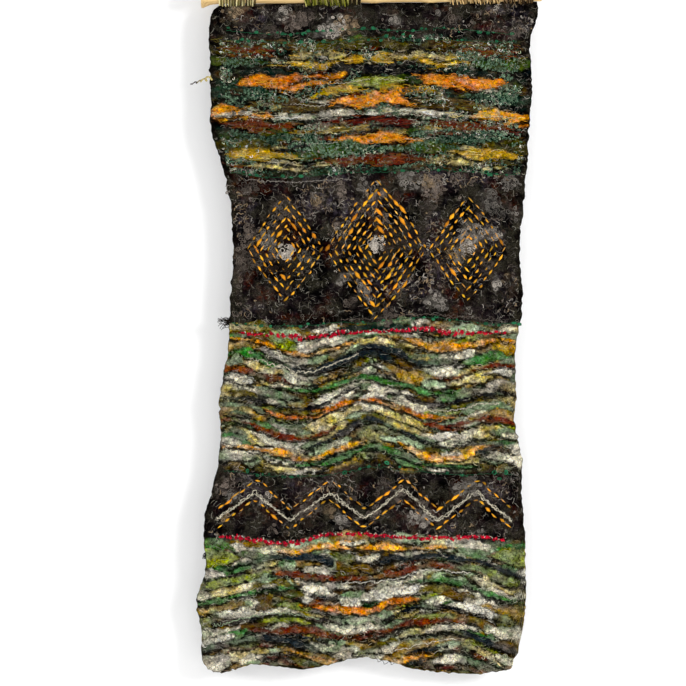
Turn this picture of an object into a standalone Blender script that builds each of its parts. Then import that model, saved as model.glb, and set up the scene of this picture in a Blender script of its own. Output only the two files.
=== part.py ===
"""A thick felt wall hanging, lashed with yarn to a peeled branch.

The sheet hangs just under the branch. Each lashing is a run of yarn turns that goes round the
branch and through its own slit near the sheet's top edge, so the branch carries the sheet.

Metres, +Z up. +X runs along the branch, to the right as seen from the front, and the front
faces -Y. The origin is on the branch's axis at mid-length, where wall hooks hold it.
"""

from collections import namedtuple
from math import acos, atan2, ceil, cos, exp, hypot, pi, radians, sin

import bmesh
import bpy
from mathutils import Matrix

MM = 0.001

# The branch: sawn square at both ends, a little thicker at its left end
ROD_LENGTH = 604 * MM
ROD_RADIUS_LEFT = 11.8 * MM
ROD_RADIUS_RIGHT = 10.2 * MM
ROD_FLARE = 2.0 * MM  # added at the left end
ROD_FLARE_REACH = 22 * MM
ROD_RISE = 3.0 * MM  # from the left end to the right
ROD_SWEEP = 1.2 * MM  # how far the axis bows to the front
ROD_STATIONS = 60
ROD_SIDES = 14
SHARP_ANGLE = radians(40)

# A knot is a low swelling on one side of the branch
Knot = namedtuple("Knot", "along angle height reach")
KNOTS = (
    Knot(along=4 * MM, angle=-1.9, height=1.4 * MM, reach=8 * MM),
    Knot(along=104 * MM, angle=-1.3, height=1.6 * MM, reach=12 * MM),
)

# The felt sheet. Drops are measured down from the sheet's top edge at mid-width.
FELT_HEIGHT = 1188 * MM
FELT_THICKNESS = 5 * MM
FELT_COLUMNS = 25
FELT_ROWS = 50
ROW_CROWDING = 0.6  # rows lie closer together at the top and bottom edges
TOP_CLEARANCE = 1.2 * MM  # between the sheet's top edge and the branch

# The sheet's side edges, from the middle of the branch
Side = namedtuple("Side", "drop left right")
SIDES = (
    Side(drop=0 * MM, left=-268 * MM, right=292 * MM),
    Side(drop=10 * MM, left=-282 * MM, right=297 * MM),
    Side(drop=40 * MM, left=-288 * MM, right=290 * MM),
    Side(drop=70 * MM, left=-288 * MM, right=281 * MM),
    Side(drop=150 * MM, left=-286 * MM, right=285 * MM),
    Side(drop=225 * MM, left=-284 * MM, right=279 * MM),
    Side(drop=280 * MM, left=-266 * MM, right=277 * MM),
    Side(drop=370 * MM, left=-248 * MM, right=268 * MM),
    Side(drop=455 * MM, left=-246 * MM, right=263 * MM),
    Side(drop=530 * MM, left=-251 * MM, right=268 * MM),
    Side(drop=620 * MM, left=-256 * MM, right=255 * MM),
    Side(drop=705 * MM, left=-271 * MM, right=257 * MM),
    Side(drop=745 * MM, left=-269 * MM, right=252 * MM),
    Side(drop=800 * MM, left=-270 * MM, right=267 * MM),
    Side(drop=860 * MM, left=-284 * MM, right=265 * MM),
    Side(drop=915 * MM, left=-298 * MM, right=270 * MM),
    Side(drop=1000 * MM, left=-295 * MM, right=273 * MM),
    Side(drop=1050 * MM, left=-311 * MM, right=273 * MM),
    Side(drop=1110 * MM, left=-301 * MM, right=267 * MM),
    Side(drop=1150 * MM, left=-302 * MM, right=257 * MM),
    Side(drop=1188 * MM, left=-284 * MM, right=242 * MM),
)

# The bottom edge: how far it lies above the sheet's full height, at shares of the width
Hem = namedtuple("Hem", "share lift")
HEM = (
    Hem(share=0.00, lift=12 * MM),
    Hem(share=0.05, lift=5 * MM),
    Hem(share=0.15, lift=21 * MM),
    Hem(share=0.32, lift=12 * MM),
    Hem(share=0.52, lift=31 * MM),
    Hem(share=0.68, lift=11 * MM),
    Hem(share=0.88, lift=0 * MM),
    Hem(share=1.00, lift=9 * MM),
)

# Upright flutes and level ripples, both growing from nothing at the lashed top edge
Wave = namedtuple("Wave", "height length phase growth")
FLUTES = (
    Wave(height=5.5 * MM, length=410 * MM, phase=0.7, growth=1.0),
    Wave(height=3.0 * MM, length=205 * MM, phase=2.1, growth=1.6),
)
RIPPLES = (
    Wave(height=2.2 * MM, length=330 * MM, phase=0.4, growth=0.7),
    Wave(height=1.4 * MM, length=150 * MM, phase=1.5, growth=1.4),
)
STILL_DROP = 45 * MM  # the lashed heading stays flat down to here

# The lashings: runs of yarn turns, each from start to end along the branch
Lashing = namedtuple("Lashing", "name start end yarn colour")
LASHINGS = (
    Lashing("lashing_pale", -262 * MM, -204 * MM, 2.0 * MM, (0.62, 0.64, 0.34)),
    Lashing("lashing_lime", -120 * MM, -43 * MM, 2.4 * MM, (0.27, 0.36, 0.06)),
    Lashing("lashing_dark", -38 * MM, -16 * MM, 2.6 * MM, (0.035, 0.027, 0.02)),
    Lashing("lashing_beige", 136 * MM, 224 * MM, 2.2 * MM, (0.60, 0.42, 0.22)),
    Lashing("lashing_brown", 230 * MM, 281 * MM, 2.2 * MM, (0.22, 0.15, 0.08)),
)
LASHING_STEP = 26 * MM
ARC_STEPS = 16
STRIP_HEIGHT = 8 * MM  # the felt left between the top edge and the slits
SLIT_END_GAP = 0.5 * MM
FOOT_SPREAD = 0.6  # how far a turn's outside stands out at its foot, in yarn thicknesses
GAP = 0.3 * MM  # between pieces that touch


def clear_scene():
    for obj in list(bpy.data.objects):
        bpy.data.objects.remove(obj, do_unlink=True)


def plain_material(name, colour, roughness):
    material = bpy.data.materials.new(name)
    material.use_nodes = True
    shader = material.node_tree.nodes["Principled BSDF"]
    shader.inputs["Base Color"].default_value = (*colour, 1.0)
    shader.inputs["Roughness"].default_value = roughness
    shader.inputs["Metallic"].default_value = 0.0
    return material


def object_from(name, build, material):
    """An object whose mesh build(bm) fills in, with its normals facing out."""
    bm = bmesh.new()
    build(bm)
    bmesh.ops.recalc_face_normals(bm, faces=bm.faces)
    mesh = bpy.data.meshes.new(name)
    bm.to_mesh(mesh)
    bm.free()
    mesh.materials.append(material)
    obj = bpy.data.objects.new(name, mesh)
    bpy.context.scene.collection.objects.link(obj)
    return obj


def smooth_through(places, values, place):
    """The value at place on a smooth curve through a table, by a cubic between its rows."""
    last = len(places) - 1
    row = max(i for i in range(last) if places[i] <= place or i == 0)
    row_before, row_after = max(row - 1, 0), min(row + 2, last)
    span = places[row + 1] - places[row]
    slope_here = (values[row + 1] - values[row_before]) / (places[row + 1] - places[row_before])
    slope_next = (values[row_after] - values[row]) / (places[row_after] - places[row])
    t = min(max((place - places[row]) / span, 0.0), 1.0)
    return (
        values[row] * (2 * t**3 - 3 * t**2 + 1)
        + values[row + 1] * (3 * t**2 - 2 * t**3)
        + slope_here * span * (t**3 - 2 * t**2 + t)
        + slope_next * span * (t**3 - t**2)
    )


# The branch


def rod_share(x):
    return x / ROD_LENGTH + 0.5


def rod_axis(x):
    """The (y, z) of the branch's axis at x, which passes through the origin."""
    bow = -ROD_SWEEP * cos(pi * x / ROD_LENGTH) + ROD_SWEEP
    return bow, ROD_RISE * x / ROD_LENGTH


def rod_radius(x):
    taper = ROD_RADIUS_LEFT + (ROD_RADIUS_RIGHT - ROD_RADIUS_LEFT) * rod_share(x)
    from_left = x + ROD_LENGTH / 2
    return taper + ROD_FLARE * exp(-((from_left / ROD_FLARE_REACH) ** 2))


def knot_swelling(x, angle):
    return sum(
        knot.height
        * exp(-(((x - knot.along) / knot.reach) ** 2))
        * max(cos(angle - knot.angle), 0.0) ** 3
        for knot in KNOTS
    )


def rod_bottom(x):
    """The height of the branch's underside."""
    return rod_axis(x)[1] - rod_radius(x) - knot_swelling(x, -pi / 2)


def build_rod(bm):
    rings = []
    for station in range(ROD_STATIONS + 1):
        x = ROD_LENGTH * (station / ROD_STATIONS - 0.5)
        centre_y, centre_z = rod_axis(x)
        ring = []
        for side in range(ROD_SIDES):
            angle = 2 * pi * side / ROD_SIDES
            radius = rod_radius(x) + knot_swelling(x, angle)
            ring.append(
                bm.verts.new((x, centre_y + radius * cos(angle), centre_z + radius * sin(angle)))
            )
        rings.append(ring)
    for ring, following in zip(rings, rings[1:]):
        for side in range(ROD_SIDES):
            after = (side + 1) % ROD_SIDES
            bm.faces.new((ring[side], ring[after], following[after], following[side]))
    bm.faces.new(rings[0])
    bm.faces.new(rings[-1])


# The felt sheet


def top_edge(x):
    return rod_bottom(x) - TOP_CLEARANCE


def side_edges(drop):
    drops = [side.drop for side in SIDES]
    left = smooth_through(drops, [side.left for side in SIDES], drop)
    right = smooth_through(drops, [side.right for side in SIDES], drop)
    return left, right


def hem_lift(share):
    return smooth_through([hem.share for hem in HEM], [hem.lift for hem in HEM], share)


def felt_outline_point(across, down):
    """The (x, z) of the sheet at shares of its width and height, 0 at its top left corner."""
    drop = (FELT_HEIGHT - hem_lift(across)) * down
    left, right = side_edges(drop)
    x = left + (right - left) * across
    return x, top_edge(x) - drop


def felt_depth(x, drop):
    """How far back the middle of the sheet's thickness lies: its flutes and ripples."""
    share = min(max(drop - STILL_DROP, 0.0) / (FELT_HEIGHT - STILL_DROP), 1.0)
    flutes = sum(
        wave.height * share**wave.growth * sin(2 * pi * x / wave.length + wave.phase)
        for wave in FLUTES
    )
    ripples = sum(
        wave.height * share**wave.growth * sin(2 * pi * (drop + 0.2 * x) / wave.length + wave.phase)
        for wave in RIPPLES
    )
    return flutes + ripples


def build_felt(bm):
    grid = []
    for row in range(FELT_ROWS + 1):
        even = row / FELT_ROWS
        down = even - ROW_CROWDING * sin(2 * pi * even) / (2 * pi)
        line = []
        for column in range(FELT_COLUMNS + 1):
            x, z = felt_outline_point(column / FELT_COLUMNS, down)
            line.append(bm.verts.new((x, felt_depth(x, top_edge(x) - z), z)))
        grid.append(line)
    for upper, lower in zip(grid, grid[1:]):
        for column in range(FELT_COLUMNS):
            bm.faces.new((upper[column], lower[column], lower[column + 1], upper[column + 1]))


def thicken(sheet, thickness):
    solidify = sheet.modifiers.new("thickness", "SOLIDIFY")
    solidify.thickness = thickness
    solidify.offset = 0.0


# The lashings


def strip_bottom(lashing):
    """The underside of the felt strip that a lashing carries, level along the whole lashing."""
    return top_edge((lashing.start + lashing.end) / 2) - STRIP_HEIGHT


def teardrop(centre, radius, foot_y, foot_z):
    """A closed loop of (y, z) points: an arc over the branch, two legs down and a level foot."""
    centre_y, centre_z = centre

    def leaves_at(side):
        dy, dz = side * foot_y - centre_y, foot_z - centre_z
        return atan2(dz, dy) + side * acos(radius / hypot(dy, dz))

    first = leaves_at(1)
    sweep = leaves_at(-1) - first + 2 * pi
    arc = []
    for point in range(ARC_STEPS + 1):
        angle = first + sweep * point / ARC_STEPS
        arc.append((centre_y + radius * cos(angle), centre_z + radius * sin(angle)))
    return arc + [(-foot_y, foot_z), (foot_y, foot_z)]


def lashing_loops(lashing, x):
    """The inner and outer loops of a lashing's turn at x."""
    flats_clear = 1 / cos(pi / ARC_STEPS)
    radius = (rod_radius(x) + GAP) * flats_clear
    foot_y = FELT_THICKNESS / 2 + GAP
    foot_z = strip_bottom(lashing) - GAP
    inner = teardrop(rod_axis(x), radius, foot_y, foot_z)
    outer = teardrop(
        rod_axis(x),
        radius + lashing.yarn,
        foot_y + FOOT_SPREAD * lashing.yarn,
        foot_z - lashing.yarn,
    )
    return inner, outer


def build_lashing(bm, lashing):
    steps = ceil((lashing.end - lashing.start) / LASHING_STEP)
    stations = []
    for step in range(steps + 1):
        x = lashing.start + (lashing.end - lashing.start) * step / steps
        stations.append(
            [[bm.verts.new((x, y, z)) for y, z in loop] for loop in lashing_loops(lashing, x)]
        )
    points = len(stations[0][0])
    for station, following in zip(stations, stations[1:]):
        for loop, next_loop in zip(station, following):
            for point in range(points):
                after = (point + 1) % points
                bm.faces.new((loop[point], loop[after], next_loop[after], next_loop[point]))
    for inner, outer in (stations[0], stations[-1]):
        for point in range(points):
            after = (point + 1) % points
            bm.faces.new((inner[point], inner[after], outer[after], outer[point]))


def build_slit_cutters(bm):
    """A box for each lashing, through the felt, with room for the lashing's foot."""
    for lashing in LASHINGS:
        top = strip_bottom(lashing)
        height = lashing.yarn + 2 * GAP
        width = lashing.end - lashing.start + 2 * SLIT_END_GAP
        middle = ((lashing.start + lashing.end) / 2, 0.0, top - height / 2)
        size = Matrix.Diagonal((width, 4 * FELT_THICKNESS, height, 1.0))
        bmesh.ops.create_cube(bm, size=1.0, matrix=Matrix.Translation(middle) @ size)


def cut(target, cutter):
    cutter.hide_render = True
    cutter.display_type = "WIRE"
    boolean = target.modifiers.new("slits", "BOOLEAN")
    boolean.operation = "DIFFERENCE"
    boolean.solver = "EXACT"
    boolean.object = cutter


def main():
    clear_scene()

    wood = plain_material("peeled_wood", (0.66, 0.49, 0.31), 0.62)
    rod = object_from("rod", build_rod, wood)
    rod.data.shade_smooth()
    rod.data.set_sharp_from_angle(angle=SHARP_ANGLE)

    wool = plain_material("dark_felt", (0.055, 0.045, 0.036), 0.95)
    felt = object_from("felt", build_felt, wool)
    thicken(felt, FELT_THICKNESS)
    cutters = object_from("slit_cutters", build_slit_cutters, wool)
    cut(felt, cutters)

    for lashing in LASHINGS:
        yarn = plain_material(lashing.name, lashing.colour, 0.9)
        object_from(lashing.name, lambda bm: build_lashing(bm, lashing), yarn)


main()
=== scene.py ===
"""The looks of a felt wall hanging: dyed wool felted in bands, stitched, knotted and couched,
lashed with yarn to a peeled branch.

It is laid out as an add-on and run as a script. Lengths are in millimetres, but for the
properties and the stage, which are in metres, as the finished meshes are. A place on the design
is given by out, from the hanging's middle, and drop, down from its top.
"""

from collections import namedtuple
from math import ceil, cos, hypot, pi, radians, sin

import bpy
import numpy as np
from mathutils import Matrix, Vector
from mathutils.bvhtree import BVHTree


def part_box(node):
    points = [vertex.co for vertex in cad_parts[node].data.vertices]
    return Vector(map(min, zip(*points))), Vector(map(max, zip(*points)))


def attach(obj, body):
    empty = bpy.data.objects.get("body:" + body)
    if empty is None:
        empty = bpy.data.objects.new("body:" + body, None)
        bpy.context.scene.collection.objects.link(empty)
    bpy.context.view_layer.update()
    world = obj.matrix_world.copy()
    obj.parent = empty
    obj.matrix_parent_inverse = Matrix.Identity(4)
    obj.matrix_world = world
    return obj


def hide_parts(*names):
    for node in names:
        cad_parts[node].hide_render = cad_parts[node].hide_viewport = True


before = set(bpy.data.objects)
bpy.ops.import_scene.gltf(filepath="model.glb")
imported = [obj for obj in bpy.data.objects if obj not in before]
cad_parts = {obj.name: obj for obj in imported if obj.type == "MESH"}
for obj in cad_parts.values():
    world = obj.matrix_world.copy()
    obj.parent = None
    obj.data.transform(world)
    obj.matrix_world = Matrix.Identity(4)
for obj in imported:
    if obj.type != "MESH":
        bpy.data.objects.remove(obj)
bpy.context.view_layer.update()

bl_info = {
    "name": "Felt wall hanging",
    "version": (1, 0, 0),
    "blender": (4, 5, 0),
    "location": "View3D > Sidebar > Hanging",
    "description": "Felts, stitches and lashes a wall hanging round its packed frame",
    "category": "Object",
}

MM = 0.001
FRONT = np.array((0.0, -1.0, 0.0))
SAG = 1.0037  # how much the felt's own weight draws it out
TOP_REACH = 1.0  # how much nearer the branch its top edge comes than its stand-in's
HEAD = 12  # from the branch's axis down to the design's top
REACH = 262  # how far out stitches and wool are laid from the middle, short of the edges
ROLL = 6.5  # how far in from its edge the felt is rounded
FLAT_FACES = (-2.5, 2.5)  # how far back the felt's faces lie past its packed edge
TURN = 2 * pi


# Dyes and layout


def dye(red, green, blue):
    """A dye as linear light, from its red, green and blue as they look, 0 to 255."""
    return np.array([(channel / 255) ** 2.2 for channel in (red, green, blue)])


DYES = {
    name: dye(*looks)
    for name, looks in dict(
        soot=(24, 20, 18), umber=(53, 43, 36), taupe=(103, 93, 85), smoke=(150, 143, 134),
        cream=(222, 214, 190), white=(236, 230, 212), straw=(202, 184, 116),
        mustard=(186, 146, 34), gold=(222, 152, 42), orange=(222, 130, 36), rust=(118, 52, 24),
        maroon=(92, 22, 14), crimson=(176, 22, 46), lime=(144, 152, 62), olive=(102, 92, 36),
        moss=(62, 88, 34), grass=(72, 124, 66), sage=(128, 144, 112), mint=(168, 186, 150),
        sea=(78, 112, 92), teal=(32, 62, 48), deep=(18, 36, 31), navy=(27, 38, 45),
        night=(14, 17, 24), tan=(144, 124, 98), ochre=(160, 128, 58), bronze=(100, 74, 28),
        amber=(232, 166, 80),
    ).items()
}

# What each dye is carded with, a good deal and a little
BLENDS = {
    name: pair.split()
    for name, pair in dict(
        umber="soot taupe", taupe="umber sage", smoke="taupe cream", cream="smoke sage",
        white="cream smoke", straw="cream olive", mustard="olive straw", gold="orange straw",
        orange="rust gold", rust="umber maroon", maroon="rust umber", lime="sage moss",
        olive="umber moss", moss="olive deep", grass="sage moss", sage="taupe grass",
        mint="cream grass", teal="deep moss", deep="night teal", navy="night deep",
        night="navy umber", tan="taupe rust", ochre="tan olive", bronze="umber olive",
        amber="gold cream",
    ).items()
}

# Dyes laid thinly enough in the streaked zone for the ground to show through
LACY = ("cream", "smoke", "straw", "olive", "ochre", "bronze")

# The design runs down the felt in level zones, here by their top and bottom drops
Zone = namedtuple("Zone", "top bottom")
HEADING, STREAKED, FIELD = Zone(-40, 64), Zone(64, 300), Zone(300, 572)
RIDGED, PALE, FOOT = Zone(572, 826), Zone(826, 952), Zone(952, 1260)
FIELD_MIDDLE, PALE_MIDDLE = sum(FIELD) / 2, sum(PALE) / 2

# Streaks of bright wool in the streaked zone. Each lies at both sides of the middle, out from it.
Streak = namedtuple("Streak", "drop out half_length half_height dye lift")
STREAKS = [
    Streak(*row)
    for row in (
        (80, 0, 112, 12, "olive", 1.0), (82, 190, 84, 14, "bronze", 1.2),
        (86, 214, 50, 6, "rust", 1.2), (104, 88, 88, 13, "mustard", 1.5),
        (98, 104, 62, 7, "straw", 1.6), (106, 236, 58, 11, "moss", 1.1),
        (124, 0, 88, 11, "night", 0.6), (124, 172, 62, 9, "deep", 0.8),
        (141, 146, 94, 13, "orange", 2.4), (146, 0, 60, 12, "lime", 1.2),
        (160, 66, 50, 9, "mustard", 1.5), (163, 232, 60, 14, "teal", 1.6),
        (177, 0, 86, 13, "orange", 2.4), (184, 152, 80, 10, "bronze", 1.3),
        (199, 92, 94, 7, "cream", 1.4), (200, 232, 58, 14, "gold", 2.2),
        (213, 0, 118, 10, "maroon", 1.5), (201, 0, 84, 3, "cream", 0.8),
        (216, 186, 74, 9, "rust", 1.4), (225, 0, 112, 4, "smoke", 0.8),
        (228, 70, 88, 8, "ochre", 1.4), (241, 148, 78, 15, "teal", 1.8),
        (245, 0, 70, 12, "orange", 2.2), (252, 236, 56, 11, "olive", 1.2),
        (264, 84, 80, 12, "moss", 1.2), (268, 198, 62, 12, "mustard", 1.7),
        (283, 0, 104, 10, "rust", 1.3), (288, 152, 84, 8, "straw", 1.2),
    )
]

# Ridged zones are rows of pale patches, with thin bright and dark lines over them
Ridges = namedtuple("Ridges", "zone step patches lines")
RIDGES = (
    Ridges(RIDGED, 17.5,
           "sage cream ochre mint olive straw white grass cream lime bronze sage cream straw",
           "deep amber navy rust grass night orange rust navy amber grass"),
    Ridges(FOOT, 18.0,
           "ochre mint straw cream grass white olive cream sage tan lime bronze cream",
           "amber navy rust grass orange night rust navy amber maroon"),
)

# The nested lozenges: out from the middle, half width, half height and how many
MOTIFS = ((0, 88, 122, 7), (-162, 66, 92, 5), (162, 66, 92, 5))


def length_property(name, description, default, least=0.1):
    """A length that a user can set, its default and least given in millimetres."""
    return bpy.props.FloatProperty(
        name=name, description=description, default=default * MM, min=least * MM, unit="LENGTH"
    )


def count_property(name, description, default):
    return bpy.props.IntProperty(name=name, description=description, default=default, min=100)


def colour_property(name, description, default):
    return bpy.props.FloatVectorProperty(
        name=name, description=description, default=tuple(default), min=0, max=1,
        subtype="COLOR", size=3,
    )


class HangingSizes(bpy.types.PropertyGroup):
    """Sizes a user would change."""

    mesh_pitch: length_property("Mesh pitch", "Spacing of the felt's mesh", 3.0, least=1)
    pebble_height: length_property("Pebble height", "Height of the felt's pebbly wrinkles", 1.1)
    selvage: length_property("Selvage", "Width of the dark rolled edge", 9)
    stitch_length: length_property("Stitch length", "Length of a running stitch", 11)
    stitch_width: length_property("Stitch width", "Width of a running stitch", 3.2)
    fibre_width: length_property("Fibre width", "Width of a loose surface fibre", 0.5)
    fibres: count_property("Fibres", "Loose fibres over the whole felt", 20000)
    curls: count_property("Curls", "Small crimped curls over the ridged zones", 3100)
    wall_gap: length_property("Wall gap", "From the branch's axis back to the wall", 55)


class HangingColours(bpy.types.PropertyGroup):
    """Colours a user would change, as linear light."""

    stitch: colour_property("Stitches", "Running stitches", DYES["gold"])
    stitch_warm: colour_property("Fat stitches", "The fatter stitches among them", dye(222, 138, 36))
    knot: colour_property("Knots", "Rows of small knots", dye(44, 106, 72))
    berry: colour_property("Berry stitches", "Dense crossed stitches", DYES["crimson"])
    couching: colour_property("Couched yarn", "Yarn laid on and sewn down", DYES["cream"])
    wood: colour_property("Branch", "Peeled wood", dye(222, 190, 132))
    wood_dark: colour_property("Branch streaks", "Grain and knots", dye(150, 112, 64))
    backdrop: colour_property("Backdrop", "Wall and floor", dye(240, 240, 240))


# Noise on a plane


class Noise:
    """Smooth noise between -1 and 1 on a plane, the same on every run."""

    def __init__(self, seed):
        self.table = np.random.default_rng(seed).uniform(-1, 1, (256, 256))

    def once(self, x, y):
        i, j = np.floor(x).astype(int), np.floor(y).astype(int)
        u, v = (share * share * (3 - 2 * share) for share in (x - i, y - j))
        i, j, after_i, after_j = i & 255, j & 255, (i + 1) & 255, (j + 1) & 255
        table = self.table
        upper = table[i, j] * (1 - u) + table[after_i, j] * u
        lower = table[i, after_j] * (1 - u) + table[after_i, after_j] * u
        return upper * (1 - v) + lower * v

    def at(self, x, y, size, octaves=3, stretch=1.0):
        """Noise whose blobs are size high and stretch times as wide."""
        total, weight, x, y = 0.0, 1.0, x / (size * stretch), y / size
        for octave in range(octaves):
            total = total + weight * self.once(x * 2**octave + 17 * octave, y * 2**octave)
            weight *= 0.5
        return total / (2 - 2 * weight)


def smooth_step(low, high, value):
    share = np.clip((value - low) / (high - low), 0, 1)
    return share * share * (3 - 2 * share)


def blend(a, b, share):
    return a + (b - a) * share[..., None]


def unit(vectors):
    length = np.linalg.norm(vectors, axis=-1, keepdims=True)
    return vectors / np.maximum(length, 1e-9)


def between_points(grid, x, z, x0, z0, pitch):
    """A grid's values between its points."""
    column = np.clip((x - x0) / pitch, 0, grid.shape[1] - 1.001)
    row = np.clip((z - z0) / pitch, 0, grid.shape[0] - 1.001)
    i, j = row.astype(int), column.astype(int)
    u, v = column - j, row - i
    if grid.ndim == 3:
        u, v = u[..., None], v[..., None]
    return (grid[i, j] * (1 - u) + grid[i, j + 1] * u) * (1 - v) + (
        grid[i + 1, j] * (1 - u) + grid[i + 1, j + 1] * u
    ) * v


def vertices_of(node):
    """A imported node's points, in millimetres."""
    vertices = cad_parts[node].data.vertices
    points = np.zeros(len(vertices) * 3)
    vertices.foreach_get("co", points)
    return points.reshape(-1, 3) / MM


# The felt's outline and faces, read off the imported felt


class FeltForm:
    """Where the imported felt's edges and faces lie."""

    PITCH = 3.0  # how far apart its edges are read
    # How far in from the outermost points the top and bottom edges are read
    LEFT_SLOPE, RIGHT_SLOPE = 52, 26
    AWAY = 60  # how far off the felt a ray starts

    def __init__(self):
        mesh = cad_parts["felt"].data
        self.points = vertices_of("felt") * (1, 1, SAG)
        ends = np.zeros(len(mesh.edges) * 2, int)
        mesh.edges.foreach_get("vertices", ends)
        self.ends = ends.reshape(-1, 2)
        self.low, self.high = low, high = [
            np.array(corner) / MM * (1, 1, SAG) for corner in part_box("felt")
        ]
        self.across = np.arange(low[0] + self.LEFT_SLOPE, high[0] - self.RIGHT_SLOPE, self.PITCH)
        self.bottom_z, self.top_z = np.array([self.slice(0, 2, x) for x in self.across]).T
        self.top_z = self.top_z + TOP_REACH
        self.levels = np.arange(low[2] + 2, high[2] - 1, self.PITCH)
        self.left_x, self.right_x = np.array([self.slice(2, 0, z) for z in self.levels]).T
        self.tree = BVHTree.FromPolygons(
            [Vector(point) for point in self.points],
            [tuple(face.vertices) for face in mesh.polygons],
        )

    def slice(self, axis, along, level):
        """The least and greatest place along one axis where the felt crosses a level of another."""
        a, b = self.points[self.ends[:, 0]], self.points[self.ends[:, 1]]
        crossing = (a[:, axis] - level) * (b[:, axis] - level) < 0
        a, b = a[crossing], b[crossing]
        share = (level - a[:, axis]) / (b[:, axis] - a[:, axis])
        places = a[:, along] + share * (b[:, along] - a[:, along])
        return places.min(), places.max()

    def top(self, x):
        return np.interp(x, self.across, self.top_z)

    def bottom(self, x):
        return np.interp(x, self.across, self.bottom_z)

    def side(self, z, end, edge):
        """An edge at each height, kept off the rounded corners at one end of the felt."""
        return np.interp(np.clip(z, self.bottom(end) + 2, self.top(end) - 1), self.levels, edge)

    def left(self, z):
        return self.side(z, self.low[0], self.left_x)

    def right(self, z):
        return self.side(z, self.high[0], self.right_x)

    def middle(self, z):
        return (self.left(z) + self.right(z)) / 2

    def faces(self, x, z):
        """How far back the front and back faces lie at each point, from rays along Y."""
        found = []
        for px, pz in zip(x, z):
            hits = [
                self.tree.ray_cast((px, -way * self.AWAY, pz), (0, way, 0))[0] for way in (1, -1)
            ]
            found.append([hit[1] for hit in hits] if all(hits) else FLAT_FACES)
        return np.array(found)


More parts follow.
